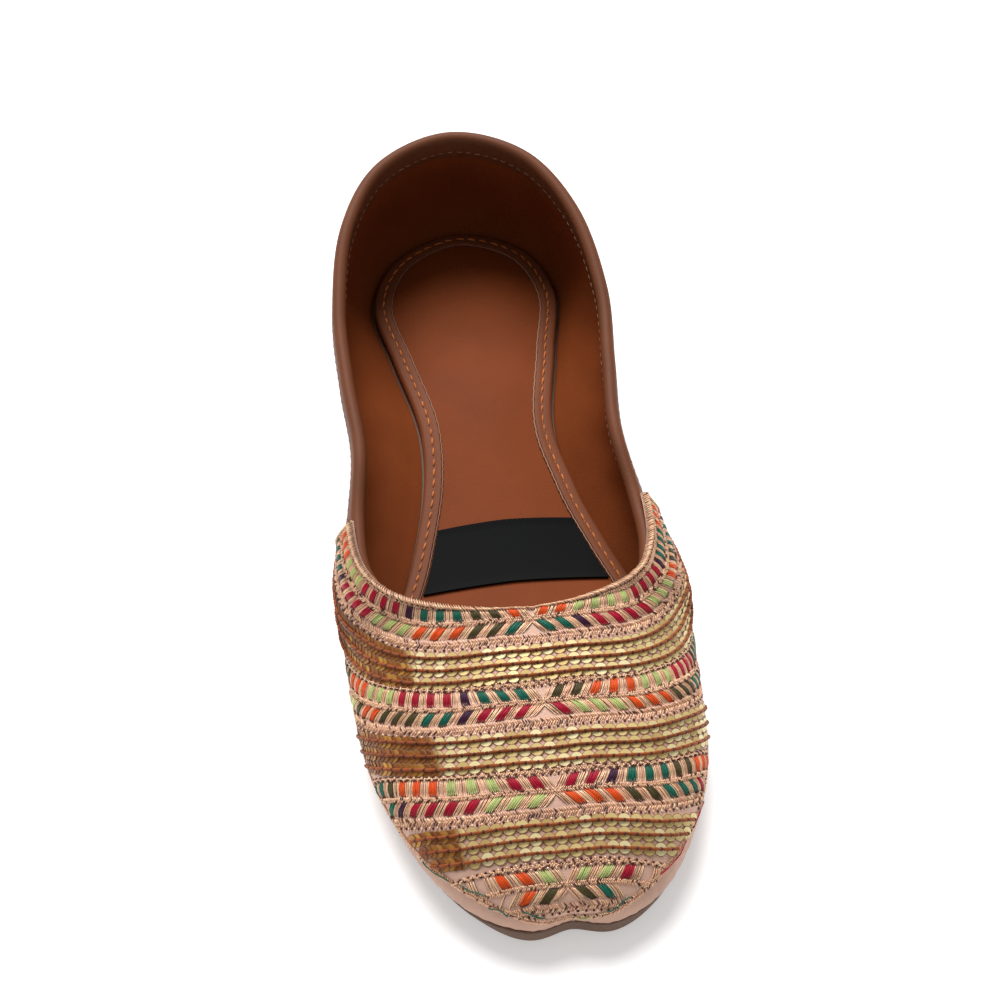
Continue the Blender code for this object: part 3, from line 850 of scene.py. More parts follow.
def make_binding():
    stations = np.linspace(TAPE_START, LAST_STATION, 220)
    turns = np.concatenate([np.linspace(-1, -0.08, 7), np.linspace(0, 1, 11), np.linspace(1.08, 2, 7)])

    def tape(side, outer):
        return binding_sheet(stations, side, turns, GAP + BINDING_WALL if outer else GAP * 0.4)

    points, faces = walls(tape, [np.s_[:, 0], np.s_[:, -1], np.s_[0]])
    paint = [PAINT["binding"]]
    return sewn(new_piece("collar_tape", points, faces, paint, ["collar_binding"]))


# Sole and insole, drawn as rings from their outline toward the middle line
def foot_line(station, side, out):
    """The foot line in plan, moved outward."""
    half, y, _ = foot_plan(station)
    return vec(side * half + middle(y), y, 0.0) + plan_out(station, side) * np.asarray(out, float)[..., None]


def sole_outline(station, side, inset):
    front = 1 - smooth(EAR_STATION, EAR_STATION + 1.2, station)
    return foot_line(station, side, SOLE_EDGE + (GAP + VAMP_PLAIN) * front - inset)


def toward_middle(station, point, share):
    """Points that share of the way from a plan point to the sole's middle line."""
    y = foot_plan(station)[2]
    share = np.asarray(share, float)[..., None]
    return point * (1 - share) + vec(middle(y), y, 0.0) * share


def insole_outline(station, side):
    return foot_line(station, side, -UPPER_WALL - 2 * GAP)


def insole_top(station, side, share):
    """Points of the insole's upper face, share going from 0 at its edge to 1 at the middle line."""
    plan = toward_middle(station, insole_outline(station, side), share)
    bulge = np.sin(np.clip(share, 0, 1) * math.pi / 2)
    plan[..., 2] = sole_top(plan[..., 1]) + GAP + INSOLE_EDGE + INSOLE_CROWN * bulge
    return plan


def rim_share(station, side, width):
    """The share of the way in at which a strip of that width along the insole's edge ends."""
    start = insole_outline(station, side)
    return width / np.linalg.norm(toward_middle(station, start, 1.0) - start, axis=-1)


def ringed_solid(name, stations, rings, face, material, replaced):
    """A closed pad made of rings. face(station, side, ring, is_top) places a ring of its top or underside."""
    joins = [np.s_[:, 0], np.s_[0]] if stations[0] > 0 else [np.s_[:, 0]]

    def sheet(side, is_top):
        return np.stack([face(stations, side, ring, is_top) for ring in rings], 1)

    points, faces = walls(sheet, joins)
    return sewn(new_piece(name, points, faces, [material], replaced), 35)


def sole_rings(count):
    """Rings from -1 to 0 turn round the sole's edge, and from 0 to 1 they run to the middle line."""
    return [*np.linspace(-1, 0, 5), *np.linspace(0, 1, count)[1:]]


def edge_turn(ring):
    return math.pi / 2 * min(ring + 1, 1.0)


def tread_in(station, side, turn, is_top):
    """How far the sole's edge is drawn in: rounded off, and trimmed close under the vamp."""
    under = 0.3 * MM if is_top else (1.5 if side == LATERAL else 1.0) * MM
    shown = 0.5 * MM * smooth(0.3, 1.5, station) * (side == LATERAL)
    trimmed = 0.7 * MM - shown + under * smooth(1.0, 2.0, station)
    return SOLE_ROUND * (1 - math.cos(turn)) + trimmed * (1 - smooth(5.5, 7.5, station))


def make_outsole():
    """The sole, a little ragged along its cut upper edge."""

    def face(station, side, ring, is_top):
        turn = edge_turn(ring)
        start = sole_outline(station, side, tread_in(station, side, turn, is_top))
        plan = toward_middle(station, start, max(ring, 0.0))
        rounding = SOLE_ROUND * (1 - math.sin(turn))
        ragged = 0.00012 * np.sin(station * 43) * np.sin(station * 17 + side) * (1 - max(ring, 0.0)) ** 8
        plan[..., 2] = sole_top(plan[..., 1]) + (ragged - rounding if is_top else rounding - SOLE_THICKNESS)
        return plan

    stations = np.linspace(0, LAST_STATION, 271)
    return ringed_solid("outsole_leather", stations, sole_rings(9), face, PAINT["sole"], ["outsole"])


def make_heel():
    """The low lift under the heel, cut straight across in front."""

    def face(station, side, ring, is_top):
        turn = edge_turn(ring)
        start = sole_outline(station, side, HEEL_INSET + SOLE_ROUND * (1 - math.cos(turn)))
        plan = toward_middle(station, start, max(ring, 0.0))
        rounding = SOLE_ROUND * (1 - math.sin(turn))
        plan[..., 2] = sole_top(plan[..., 1]) - SOLE_THICKNESS - rounding if is_top else rounding
        return plan

    tried = np.linspace(EAR_STATION, LAST_STATION - 1, 400)
    breast = float(np.interp(y_of(HEEL_BREAST), foot_plan(tried)[1], tried))
    stations = np.linspace(breast, LAST_STATION, 121)
    return ringed_solid("heel_lift", stations, sole_rings(8), face, PAINT["sole"], ["heel"])


def make_insole():
    """The padded sock: domed, rolled at its edge and pressed a little where the heel rests."""

    def face(station, side, ring, is_top):
        point = insole_top(station, side, ring)
        if not is_top:
            point[..., 2] = sole_top(point[..., 1]) + GAP
            return point
        pressed = 0.0005 * bell(share_of(point[..., 1]), 0.86, 0.09) * smooth(0.2, 1.0, ring)
        point[..., 2] -= pressed + 0.0007 * (1 - smooth(0.0, 0.05, ring))
        return point

    stations = np.linspace(0, LAST_STATION, 241)
    rings = np.linspace(0, 1, 22) ** 1.3
    made = ringed_solid("insole_pad", stations, rings, face, PAINT["insole"], ["insole"])
    return made


def rim_place(station, side, inward, lift):
    """Points over the rim: inward in metres from the insole's edge, lift above the insole."""
    point = insole_top(station, side, rim_share(station, side, inward))
    point[..., 2] += lift
    return point


def make_rim():
    """The leather strip round the insole, grooved where it is stitched."""
    stations = np.linspace(RIM_START, LAST_STATION, 261)

    def strip(side, is_top):
        lines = []
        for place in np.linspace(0, 1, 13):
            groove = 0.00016 * bell(place, RIM_SEAM, 0.06)
            thick = RIM_THICKNESS * math.sqrt(max(0.0, 1 - ((place - 0.5) * 2) ** 8)) - groove
            lift = GAP * 0.5 + (thick if is_top else 0.0)
            lines.append(rim_place(stations, side, max(place, 0.002) * RIM_WIDTH, lift))
        return np.stack(lines, 1)

    points, faces = walls(strip, [np.s_[:, 0], np.s_[:, -1], np.s_[0]])
    return sewn(new_piece("rim_strip", points, faces, [PAINT["rim"]], ["insole_rim"]))


# The ribbon
def ribbon_station(side, y):
    """Where the line across the insole at y crosses the rim's inner edge."""
    low, high = np.array(float(THROAT_STATION)), np.array(float(LAST_STATION - 3))
    for _ in range(30):
        station = (low + high) / 2
        before = insole_top(station, side, rim_share(station, side, RIM_WIDTH))[1] < y
        low, high = (station, high) if before else (low, station)
    return station


def make_ribbon():
    """The plain woven label that lies over the insole from rim to rim."""
    across, back = np.linspace(-1, 1, 61), np.linspace(0, 1, 25)
    lines = []
    for share in back:
        y = y_of(RIBBON_BACK) - (1 - share) * RIBBON_LENGTH
        ends = {side: ribbon_station(side, y) for side in (LATERAL, MEDIAL)}
        line = []
        for place in across:
            side = LATERAL if place < 0 else MEDIAL
            rim = rim_share(ends[side], side, RIM_WIDTH)
            edge = rim + (1 - rim) * 0.02
            line.append(insole_top(ends[side], side, 1 - abs(place) * (1 - edge)))
        lines.append(line)
    under = np.array(lines) + vec(0, 0, GAP * 0.6)
    fold = RIBBON_THICKNESS * (0.6 + 0.4 * smooth(0.10, 0.0, np.minimum(back, 1 - back)))
    top = under + vec(0, 0, fold[:, None])
    joins = [np.s_[0], np.s_[-1], np.s_[:, 0], np.s_[:, -1]]
    points, faces = walls(lambda side, outer: top if outer else under, joins, sides=(MEDIAL,))
    made = sewn(new_piece("label_ribbon", points, faces, [PAINT["ribbon"]], ["ribbon"]))
    return made


# The embroidery's plan: rows at even distances from the throat, traced over the vamp
def row_swell(x, distance):
    """How much further from the throat a row lies at its sides than in the middle, in metres."""
    aside = np.abs(x - ROWS_MIDDLE * MM)
    lateral = 2.5 - 0.8 * smooth(22 * MM, 40 * MM, distance)
    sides = np.where(x < 0, lateral, 3.7) + 1.2 * smooth(56 * MM, 70 * MM, distance)
    return sides * MM * smooth(4 * MM, 30 * MM, aside)


def row_value(points):
    distance, away = from_throat(points)
    step = 0.2 * MM
    swell = row_swell(points[..., 0], distance)
    slope = (row_swell(points[..., 0] + step, distance) - swell) / step
    return distance - swell, away - vec(slope, 0.0, 0.0)


class Bed:
    """The surface that carries the stitches, with the station and the height above the band of each face."""

    def __init__(self):
        stations = np.linspace(0, EAR_STATION, 260)
        shares = np.concatenate([np.linspace(0, 0.98, 90), np.linspace(0.98, 1, 8)[1:]])
        places, levels = np.meshgrid(stations, shares, indexing="ij")
        verts, faces = [], []
        for side in (LATERAL, MEDIAL):
            sheet = skin(places, side, levels, vamp_gap(places, levels) + THREAD_BED)
            start = len(verts) * places.size
            faces.append(grid_faces(len(stations), len(shares), start, side == LATERAL))
            verts.append(sheet.reshape(-1, 3))
        band = np.repeat(band_share(stations)[:, None], len(shares), 1)
        self.over_band = np.tile((levels - band)[:-1, :-1].ravel(), 2)
        self.at_station = np.tile(places[:-1, :-1].ravel(), 2)
        self.tree = BVHTree.FromPolygons(np.vstack(verts).tolist(), np.vstack(faces).tolist())

    def snap(self, points):
        """The nearest points of the bed, their normals and their faces."""
        found = [self.tree.find_nearest(Vector(point)) for point in points]
        return (np.array([hit[n] for hit in found]) for n in range(3))


class Chart:
    """Points of the bed by r and s in millimetres: place(r, s, h) lies h above the bed."""

    def __init__(self, points, inside, step_r, step_s, first_r, first_s):
        self.points, self.inside = points, inside
        self.step_r, self.step_s, self.first_r, self.first_s = step_r, step_s, first_r, first_s
        across, down = np.gradient(points, axis=1), np.gradient(points, axis=0)
        self.normals = unit(np.cross(down, across))

    def indices(self, r, s):
        rows, columns = self.inside.shape
        row = np.clip((np.asarray(r, float) - self.first_r) / self.step_r, -1.5, rows - 1.001)
        column = np.clip((np.asarray(s, float) - self.first_s) / self.step_s, 0, columns - 1.001)
        i, j = np.maximum(row.astype(int), 0), column.astype(int)
        return i, j, row - i, column - j

    def blend(self, table, r, s):
        i, j, a, b = self.indices(r, s)
        a, b = a[..., None], b[..., None]
        low = table[i, j] * (1 - b) + table[i, j + 1] * b
        high = table[i + 1, j] * (1 - b) + table[i + 1, j + 1] * b
        return low * (1 - a) + high * a

    def place(self, r, s, h):
        return self.blend(self.points, r, s) + self.up(r, s) * (np.asarray(h, float)[..., None] * MM)

    def up(self, r, s):
        return unit(self.blend(self.normals, r, s))

    def length(self):
        return self.inside.shape[1] * self.step_s

    def holds(self, r, s):
        i, j, a, _ = self.indices(r, s)
        return self.inside[i + (a > 0.5), j]

    def ends(self, r):
        """The lowest and highest s that a row reaches."""
        held = np.flatnonzero(self.inside[int(self.indices(r, 0.0)[0])])
        if not len(held):
            return 0.0, 0.0
        return self.first_s + held[0] * self.step_s, self.first_s + held[-1] * self.step_s


def corrected(points, row):
    """Points moved over the bed until they lie on a row."""
    for _ in range(2):
        value, slope = row_value(points)
        size = np.maximum((slope**2).sum(-1), 0.2)
        points = points - slope * ((value - row) / size)[:, None]
        points, normals, _ = bed.snap(points)
    return points, normals


def traced_row(row, across, reach=105, step=0.5 * MM):
    """A row of the embroidery at equal steps, from the lateral side over the middle line to the medial."""
    start = THROAT[None, len(THROAT) // 2].copy()
    start[:, 0] = across
    while row_value(start)[0][0] < row:
        _, slope = row_value(start)
        start = start + unit(slope * np.array([0.0, 1.0, 1.0])) * step
        start[:, 0] = across
        start, _, _ = bed.snap(start)
    halves = []
    for side in (LATERAL, MEDIAL):
        point, normal = corrected(start, row)
        last = np.array([[side, 0.0, 0.0]])
        half = [point[0]]
        for _ in range(int(reach * MM / step)):
            _, slope = row_value(point)
            along = unit(np.cross(normal, slope))
            last = along * np.where((along * last).sum() < 0, -1, 1)
            point, normal = corrected(point + last * step, row)
            half.append(point[0])
        halves.append(half)
    return np.array(halves[0][::-1] + halves[1][1:])


def softened(line, width):
    """A line of points with its small waves taken out."""
    reach = int(width * 3)
    weights = np.exp(-((np.arange(-reach, reach + 1) / width) ** 2) / 2)
    weights /= weights.sum()
    padded = np.pad(line, ((reach, reach), (0, 0)), mode="reflect", reflect_type="odd")
    return np.stack([np.convolve(padded[:, n], weights, "valid") for n in range(3)], -1)


def march(line, hints, depth, step):
    """Lines at equal distances beside a line on the bed, with two marks for each of their points: it lies on
    the embroidered field, and it was reached without running into the bed's edge."""
    along = unit(np.gradient(line, axis=0))
    inward = unit(hints)
    _, normals, _ = bed.snap(line + inward * 1.0 * MM)
    points, rows, fields, reached = line, [], [], []
    for _ in range(int(round(depth * MM / step))):
        way = unit(np.cross(along, normals))
        way *= np.where((way * inward).sum(-1, keepdims=True) < 0, -1, 1)
        before = points
        points, normals, found = bed.snap(points + way * step)
        rows.append(points)
        reached.append(np.linalg.norm(points - before, axis=-1) > 0.4 * step)
        fields.append((bed.over_band[found] > 0.006) & (bed.at_station[found] < EAR_STATION - 0.05))
    return rows, fields, reached


def first_run(flags):
    """Keeps the first unbroken run of each row of flags."""
    begun = np.logical_or.accumulate(flags, axis=1)
    return flags & ~np.logical_or.accumulate(begun & ~flags, axis=1)


def zone_chart(row, above, below, across=2.2 * MM, step=0.5 * MM):
    """The chart of a zone of embroidery round one of its rows, r being 0 there."""
    line, _, _ = bed.snap(softened(traced_row(row * MM, across), SMOOTHING * MM / step))
    _, slope = row_value(line)
    up, up_on, up_short = march(line, -slope, above, step)
    down, down_on, down_short = march(line, slope, below, step)
    grid = np.stack(up[::-1] + [line] + down)
    inside = np.stack(up_on[::-1] + down_on[:1] + down_on)
    middle_column = len(line) // 2
    inside[:, middle_column:] = first_run(inside[:, middle_column:])
    inside[:, middle_column::-1] = first_run(inside[:, middle_column::-1])
    inside &= np.stack(up_short[::-1] + down_short[:1] + down_short)
    return Chart(grid, inside, step / MM, step / MM, -len(up) * step / MM, -middle_column * step / MM)


def even_line(points, step):
    """Points at equal steps along a line of points."""
    length = np.concatenate([[0], np.cumsum(np.linalg.norm(np.diff(points, axis=0), axis=-1))])
    places = np.arange(0, length[-1], step)
    return np.stack([np.interp(places, length, points[:, n]) for n in range(3)], -1)


def strip_chart(line, hints, depth, step=0.25 * MM):
    """A chart of the strip beside a line on the bed. hints point roughly into the strip."""
    rows, _, _ = march(line, hints, depth, step)
    grid = np.stack([line] + rows)
    chart = Chart(grid, np.ones(grid.shape[:2], bool), step / MM, step / MM, 0.0, 0.0)
    _, normals, _ = bed.snap(rows[3])
    if (chart.normals[4] * normals).sum() < 0:
        chart.normals *= -1
    return chart


def open_edge_chart():
    """The strip inside the throat's edge and down the back edges of both wings."""
    throat = throat_line(spare=1e-6)
    middle_of_opening = np.array([0.0005, -0.005, 0.0])
    hints = (throat - middle_of_opening) * np.array([1.0, 1.0, 0.0]) - vec(0, 0, 0.01)
    lines, ways = [], []
    for side in (LATERAL, MEDIAL):
        levels = np.linspace(0.999, band_share(np.array(EAR_STATION)) + 0.01, 80)
        down = np.full_like(levels, WING_END)
        back = skin(down, side, levels, vamp_gap(down, levels) + THREAD_BED)
        lines.append(back)
        ways.append(np.tile([0.0, -1.0, 0.0], (len(back), 1)))
    line = np.vstack([lines[0][::-1], throat, lines[1]])
    way = np.vstack([ways[0][::-1], unit(hints), ways[1]])
    even = even_line(line, 0.25 * MM)
    nearest = ((even[:, None, :] - line[None, ::3, :]) ** 2).sum(-1).argmin(1)
    return strip_chart(even, way[::3][nearest], depth=3.5)


def band_edge_chart():
    """The strip above the plain band, from one wing round the toe to the other."""
    stations = np.linspace(WING_END, 0, 300)
    halves = []
    for side in (LATERAL, MEDIAL):
        levels = band_share(stations) + 0.004
        halves.append(skin(stations, side, levels, vamp_gap(stations, levels) + THREAD_BED))
    even = even_line(joined(halves), 0.25 * MM)
    return strip_chart(even, np.tile([0.0, 0.0, 1.0], (len(even), 1)), depth=3.0)


bed = Bed()
colour_zones = [zone_chart(row, above=6.5, below=8.0) for row in BANDS]
sequin_zones = [zone_chart(row, above=5.5, below=5.5) for row in SEQUIN_BANDS]
open_edge = open_edge_chart()
band_edge = band_edge_chart()


# Stitches, in the chart's millimetres
def spots(r, s):
    """Places on a chart by r and s, either of which may be one number."""
    return np.stack(np.broadcast_arrays(r, s), -1)


def uneven(points, spread):
    return points + chance.normal(0, spread, points.shape)


def round_turns(sides):
    """Even angles once round."""
    return np.linspace(0, 2 * math.pi, sides + 1)[:-1]


def tubes(rings):
    """Points and quads of closed tubes, from rings of shape (tube, ring, point, 3)."""
    count, rows, columns, _ = rings.shape
    one = grid_faces(rows, columns, 0, False, True)
    caps = []
    for base in (0, (rows - 1) * columns):
        for k in range(columns // 2 - 1):
            caps.append([base + k, base + k + 1, base + columns - 2 - k, base + columns - 1 - k])
    one = np.vstack([one, np.array(caps)])
    faces = (one[None] + (np.arange(count) * rows * columns)[:, None, None]).reshape(-1, 4)
    return rings.reshape(-1, 3), faces


class Pile:
    """Gathers points and faces of many small things, each with a material's number."""

    def __init__(self):
        self.points, self.faces, self.kinds, self.count = [], [], [], 0

    def add(self, points, faces, kind=0):
        self.points.append(points)
        self.faces.append(faces + self.count)
        self.kinds.append(np.full(len(faces), kind))
        self.count += len(points)

    def sew(self, chart, starts, ends, sizes, kind=0, bow=0.0):
        """Adds closed short threads from start to end, rounded on top and tapering into the leather. sizes
        is a row of THREADS."""
        width, height, lift, arch, steps = sizes
        turns = round_turns(6)
        t = np.linspace(0, 1, steps + 1)
        along = ends - starts
        aside = unit(np.stack([-along[:, 1], along[:, 0]], -1))[:, None, :]
        bent = aside * (np.sin(t * math.pi) * bow)[None, :, None]
        centre = starts[:, None, :] * (1 - t)[None, :, None] + ends[:, None, :] * t[None, :, None] + bent
        swell = np.sqrt(np.clip(np.sin(t * math.pi), 0.12, 1))[None, :, None]
        flat = centre[:, :, None, :] + aside[:, :, None, :] * (np.cos(turns) * width * swell / 2)[..., None]
        up = (lift[0] * (1 - t) + lift[1] * t + arch * np.sin(t * math.pi))[None, :, None]
        up = up + np.sin(turns) * height * swell / 2
        self.add(*tubes(chart.place(flat[..., 0], flat[..., 1], up)), kind)

    def piece(self, name, paints):
        points, faces, kinds = np.vstack(self.points), np.vstack(self.faces), np.concatenate(self.kinds)
        return new_piece(name, points, faces, [PAINT[paint] for paint in paints], (), kinds)


def held(chart, starts, ends):
    """Keeps the threads that lie wholly on the embroidered field."""
    keep = np.ones(len(starts), bool)
    for point in (starts, ends, (starts + ends) / 2):
        keep &= chart.holds(point[:, 0], point[:, 1])
    return keep


def block_places(band, side, count):
    """Middle and pitch of each block outward from the middle line: wide there, closer at the sides."""
    first, near, far = BLOCKS[band][side == MEDIAL]
    pitch = far + (near - far) * (1 - smooth(2, 9, np.arange(count)))
    return first + np.concatenate([[0], np.cumsum(pitch)[:-1]]), pitch


def upper_swell(s):
    """How much further up the upper row of a band reaches at its sides."""
    return 0.9 * smooth(*CLOSING, np.abs(s))


def slanted(band, row, s, side):
    """Threads across a row, leaning toward the middle line at the row's inner end."""
    if row == "upper":
        (low, high), slant = UPPER_ROW, 0.62 * (1 - 0.85 * smooth(8, 24, s))
        low = max(low, 0.1 - BANDS[band]) - upper_swell(s)
        high = high - 0.2 * smooth(*CLOSING, s)
    else:
        (low, high), slant = LOWER_ROW, -0.88 * (1 - 0.45 * smooth(8, 30, s))
    lean = slant * (high - low) / 2
    return spots(low, side * (s + lean)), spots(high, side * (s - lean))


def make_blocks():
    """Coloured satin blocks of threads side by side, with short dark threads at their ends as painted shade
    where the threads dive in.
    """
    letters = list(SILKS)
    dark = len(letters)
    pile = Pile()
    for band, row, lateral, medial in CHART:
        zone = colour_zones[band]
        for side, colours in ((LATERAL, lateral), (MEDIAL, medial)):
            for letter, s0, pitch in zip(colours, *block_places(band, side, len(colours))):
                width = BLOCK_SHARE * pitch
                count = max(3, round(width / 0.46))
                each = width / count
                starts, ends = slanted(band, row, s0 + (np.arange(count) - (count - 1) / 2) * each, side)
                starts[:, 0] += chance.normal(0, 0.13, count)
                ends[:, 0] += chance.normal(0, 0.13, count)
                keep = held(zone, starts, ends)
                if keep.sum() < 2:
                    continue
                starts, ends = starts[keep], ends[keep]
                kind = letters.index(letter)
                sizes = (each * 1.10, 0.50, (0.05, 0.05), 0.38, 5)
                pile.sew(zone, starts, ends, sizes, kind, bow=0.08 * side)
                way = unit(ends - starts)
                # Dark tips: painted shade where the threads dive into the leather
                for tip, turn in ((starts, 1), (ends, -1)):
                    tip = tip + np.array([0.0, each / 2])
                    inner, outer = tip + way * turn * 0.4, tip - way * turn * 0.3
                    pile.sew(zone, inner, outer, THREADS["block_tip"], dark)
    return pile.piece("silk_blocks", letters + ["knot_and_shadow"])


def make_copper():
    """Copper threads in groups between the blocks, which cross at the middle line, with thin dark strands as
    painted shadow in their gaps.
    """
    pile = Pile()
    for band, row, _, _ in CHART:
        zone = colour_zones[band]
        for side in (LATERAL, MEDIAL):
            middles, pitch = block_places(band, side, COPPER_GROUPS[band])
            half = pitch * BLOCK_SHARE / 2
            for begin, end in zip([FIRST_GROUP, *(middles + half)[:-1]], middles - half):
                threads = max(3, round((end - begin) / 0.52))
                s = begin + (np.arange(threads) + 0.5) * (end - begin) / threads
                starts, ends = slanted(band, row, s + chance.normal(0, 0.05, threads), side)
                starts, ends = uneven(starts, 0.09), uneven(ends, 0.09)
                keep = held(zone, starts, ends)
                if not keep.any():
                    continue
                starts, ends = starts[keep], ends[keep]
                pile.sew(zone, starts, ends, THREADS["copper"], bow=0.05)
                # Thin dark strands after every second copper thread: painted shadow in the gaps between
                # threads
                starts, ends = (tips[::2] + np.array([0.0, 0.24]) for tips in (starts, ends))
                pile.sew(zone, starts, ends, THREADS["copper_gap_shadow"], 1)
    return pile.piece("copper_threads", ["copper", "knot_and_shadow"])


def drawn_together(r, s):
    """A row's r along it: rows above a band close up at the sides, where the blocks are longer."""
    if r > DOTS_ABOVE:
        return np.full_like(s, r)
    return BORDER_ABOVE[0] + (r - BORDER_ABOVE[0]) * (1 - 0.64 * smooth(*CLOSING, np.abs(s)))


def rope(pile, chart, low, high, pitch, lean, dark=0.16, span=None):
    """A row of short leaning threads side by side, some of them dark and sunk lower as painted shadow between
    the strands.
    """
    begin, end = span or chart.ends((low + high) / 2)
    s = np.arange(begin + 0.3, end - 0.3, pitch)
    s = s + chance.normal(0, pitch * 0.12, len(s))
    starts = uneven(spots(drawn_together(low, s), s - lean / 2), 0.07)
    ends = uneven(spots(drawn_together(high, s), s + lean / 2), 0.07)
    keep = held(chart, starts, ends)
    is_dark = chance.random(len(s)) < dark
    for kind, name, shown in ((0, "rope", keep & ~is_dark), (1, "rope_gap_shadow", keep & is_dark)):
        if shown.any():
            pile.sew(chart, starts[shown], ends[shown], THREADS[name], kind)


def dots(pile, chart, r):
    """Dark needle holes in a row, with a light stitch between them."""
    low, high = chart.ends(r)
    s = np.arange(low + 0.3, high - 0.3, DOT_PITCH)
    s = s + chance.normal(0, 0.08, len(s))
    r = drawn_together(r, s)
    for name, shift, long, kind in (("needle_hole", 0.0, 0.36, 1), ("between_holes", 0.5, 0.40, 0)):
        starts, ends = spots(r - long, s + DOT_PITCH * shift), spots(r + long, s + DOT_PITCH * shift)
        keep = held(chart, starts, ends)
        pile.sew(chart, starts[keep], ends[keep], THREADS[name], kind)


def make_borders():
    """Rope-like borders, two rows of short threads that lean opposite ways, with dots beside them."""
    pile = Pile()
    for n, zone in enumerate(colour_zones):
        for low, high in ([BORDER_ABOVE] if n else []) + [BORDER_BELOW]:
            mid = (low + high) / 2
            rope(pile, zone, low, mid + 0.15, ROPE_PITCH, 0.75)
            rope(pile, zone, mid - 0.15, high, ROPE_PITCH, -0.75)
        for r in ([DOTS_ABOVE, BORDER_ABOVE[0] - 0.3] if n else []) + [DOTS_BELOW]:
            dots(pile, zone, r)
    return pile.piece("copper_borders", ["copper", "knot_and_shadow"])


def tube_rings(centre, up, radius, sides=6):
    """Rings of a round thread through points, up being the surface's normals there."""
    along = unit(np.gradient(centre, axis=0))
    aside = unit(np.cross(along, up))
    up = np.cross(aside, along)
    turns = round_turns(sides)[None, :, None]
    radius = np.broadcast_to(radius, len(centre))[:, None, None]
    ring = aside[:, None, :] * np.cos(turns) + up[:, None, :] * np.sin(turns)
    return (centre[:, None, :] + ring * radius)[None]


def cord_rings(chart, r, s, h, radius, sides):
    """Rings of a cord that follows the chart's points r, s, h."""
    return tube_rings(chart.place(r, s, h), chart.up(r, s), np.asarray(radius) * MM, sides)


def make_braids():
    """Herringbone in the middle of each colour band, pointing to the middle line."""
    pile = Pile()
    for zone in colour_zones:
        low, high = zone.ends(0.0)
        for side, span in ((LATERAL, (low, 0.2)), (MEDIAL, (-0.2, high))):
            rope(pile, zone, -0.75, 0.1, BRAID_PITCH, -0.55 * side, 0.18, span)
            rope(pile, zone, -0.1, 0.75, BRAID_PITCH, 0.55 * side, 0.18, span)
    return pile.piece("copper_braids", ["copper", "knot_and_shadow"])


def make_edging():
    """Whipped copper edge of the opening and wings, and the stitched line above the plain band."""
    pile = Pile()
    s = np.arange(1.0, open_edge.length() - 1.2, EDGING_PITCH)
    s = s + chance.normal(0, 0.06, len(s))
    x = open_edge.place(np.zeros_like(s), s, 0.0)[:, 0]
    room = row_swell(x, np.zeros(len(s))) / MM - upper_swell(x / MM - ROWS_MIDDLE)
    inner = np.minimum(EDGING_WIDTH, 0.6 + room)
    starts, ends = spots(-0.25, s - 0.8), spots(inner, s + 0.8)
    pile.sew(open_edge, uneven(starts, 0.05), uneven(ends, 0.08), THREADS["whipping"])
    # Dark threads between the whipping threads: painted shadow in the gaps
    between = np.array([0.0, EDGING_PITCH / 2])
    pile.sew(open_edge, starts + between, ends + between, THREADS["whipping_gap_shadow"], 1)
    holes = spots(inner - 0.15, s + 0.8)[room > 1.0][::2]
    pile.sew(open_edge, holes, holes + np.array([0.40, 0.0]), THREADS["whipping_hole"], 1)
    for low, lean in ((1.0, -0.7), (1.75, 0.7)):
        keep = room > low + 0.3
        starts = spots(low, s - lean / 2)[keep]
        ends = spots(np.minimum(low + 0.9, room + 0.3), s + lean / 2)[keep]
        pile.sew(open_edge, uneven(starts, 0.07), uneven(ends, 0.07), THREADS["edge_row"])
    for low, high, lean in ((-0.1, 0.8, 0.6), (0.7, 1.5, -0.6)):
        rope(pile, band_edge, low, high, 0.6, lean, span=(0.0, band_edge.length()))
    return pile.piece("copper_edging", ["copper", "knot_and_shadow"])


def make_loose_ends():
    """Coloured carrying threads that show along the toe's lower edge."""
    letters = ["T", "C", "G"]
    pile = Pile()
    for letter, begin, long, low in LOOSE:
        s = band_edge.length() / 2 + begin + np.linspace(0, long, int(long / 0.35))
        sway = low + 0.35 * np.sin(np.linspace(0, 5, len(s)) + begin)
        rings = cord_rings(band_edge, sway, s, 0.42 + 0.1 * np.sin(s), 0.17, 5)
        pile.add(*tubes(rings), letters.index(letter))
    return pile.piece("loose_threads", letters)


def cord_rows():
    """Every row of sequins: its zone and its place across it."""
    return [(zone, CORD_PITCH * n) for zone in sequin_zones for n in (-1, 0, 1)]


def sequin_row(zone, r, pitch=SEQUIN_PITCH):
    """Places of the sequins along a row, in step with the rows beside it."""
    low, high = zone.ends(r)
    s = np.arange(math.ceil(low / pitch), math.floor(high / pitch) + 1) * pitch
    margin = SEQUIN_RADIUS * 0.75
    return s[zone.holds(np.full_like(s, r), s - margin) & zone.holds(np.full_like(s, r), s + margin)]


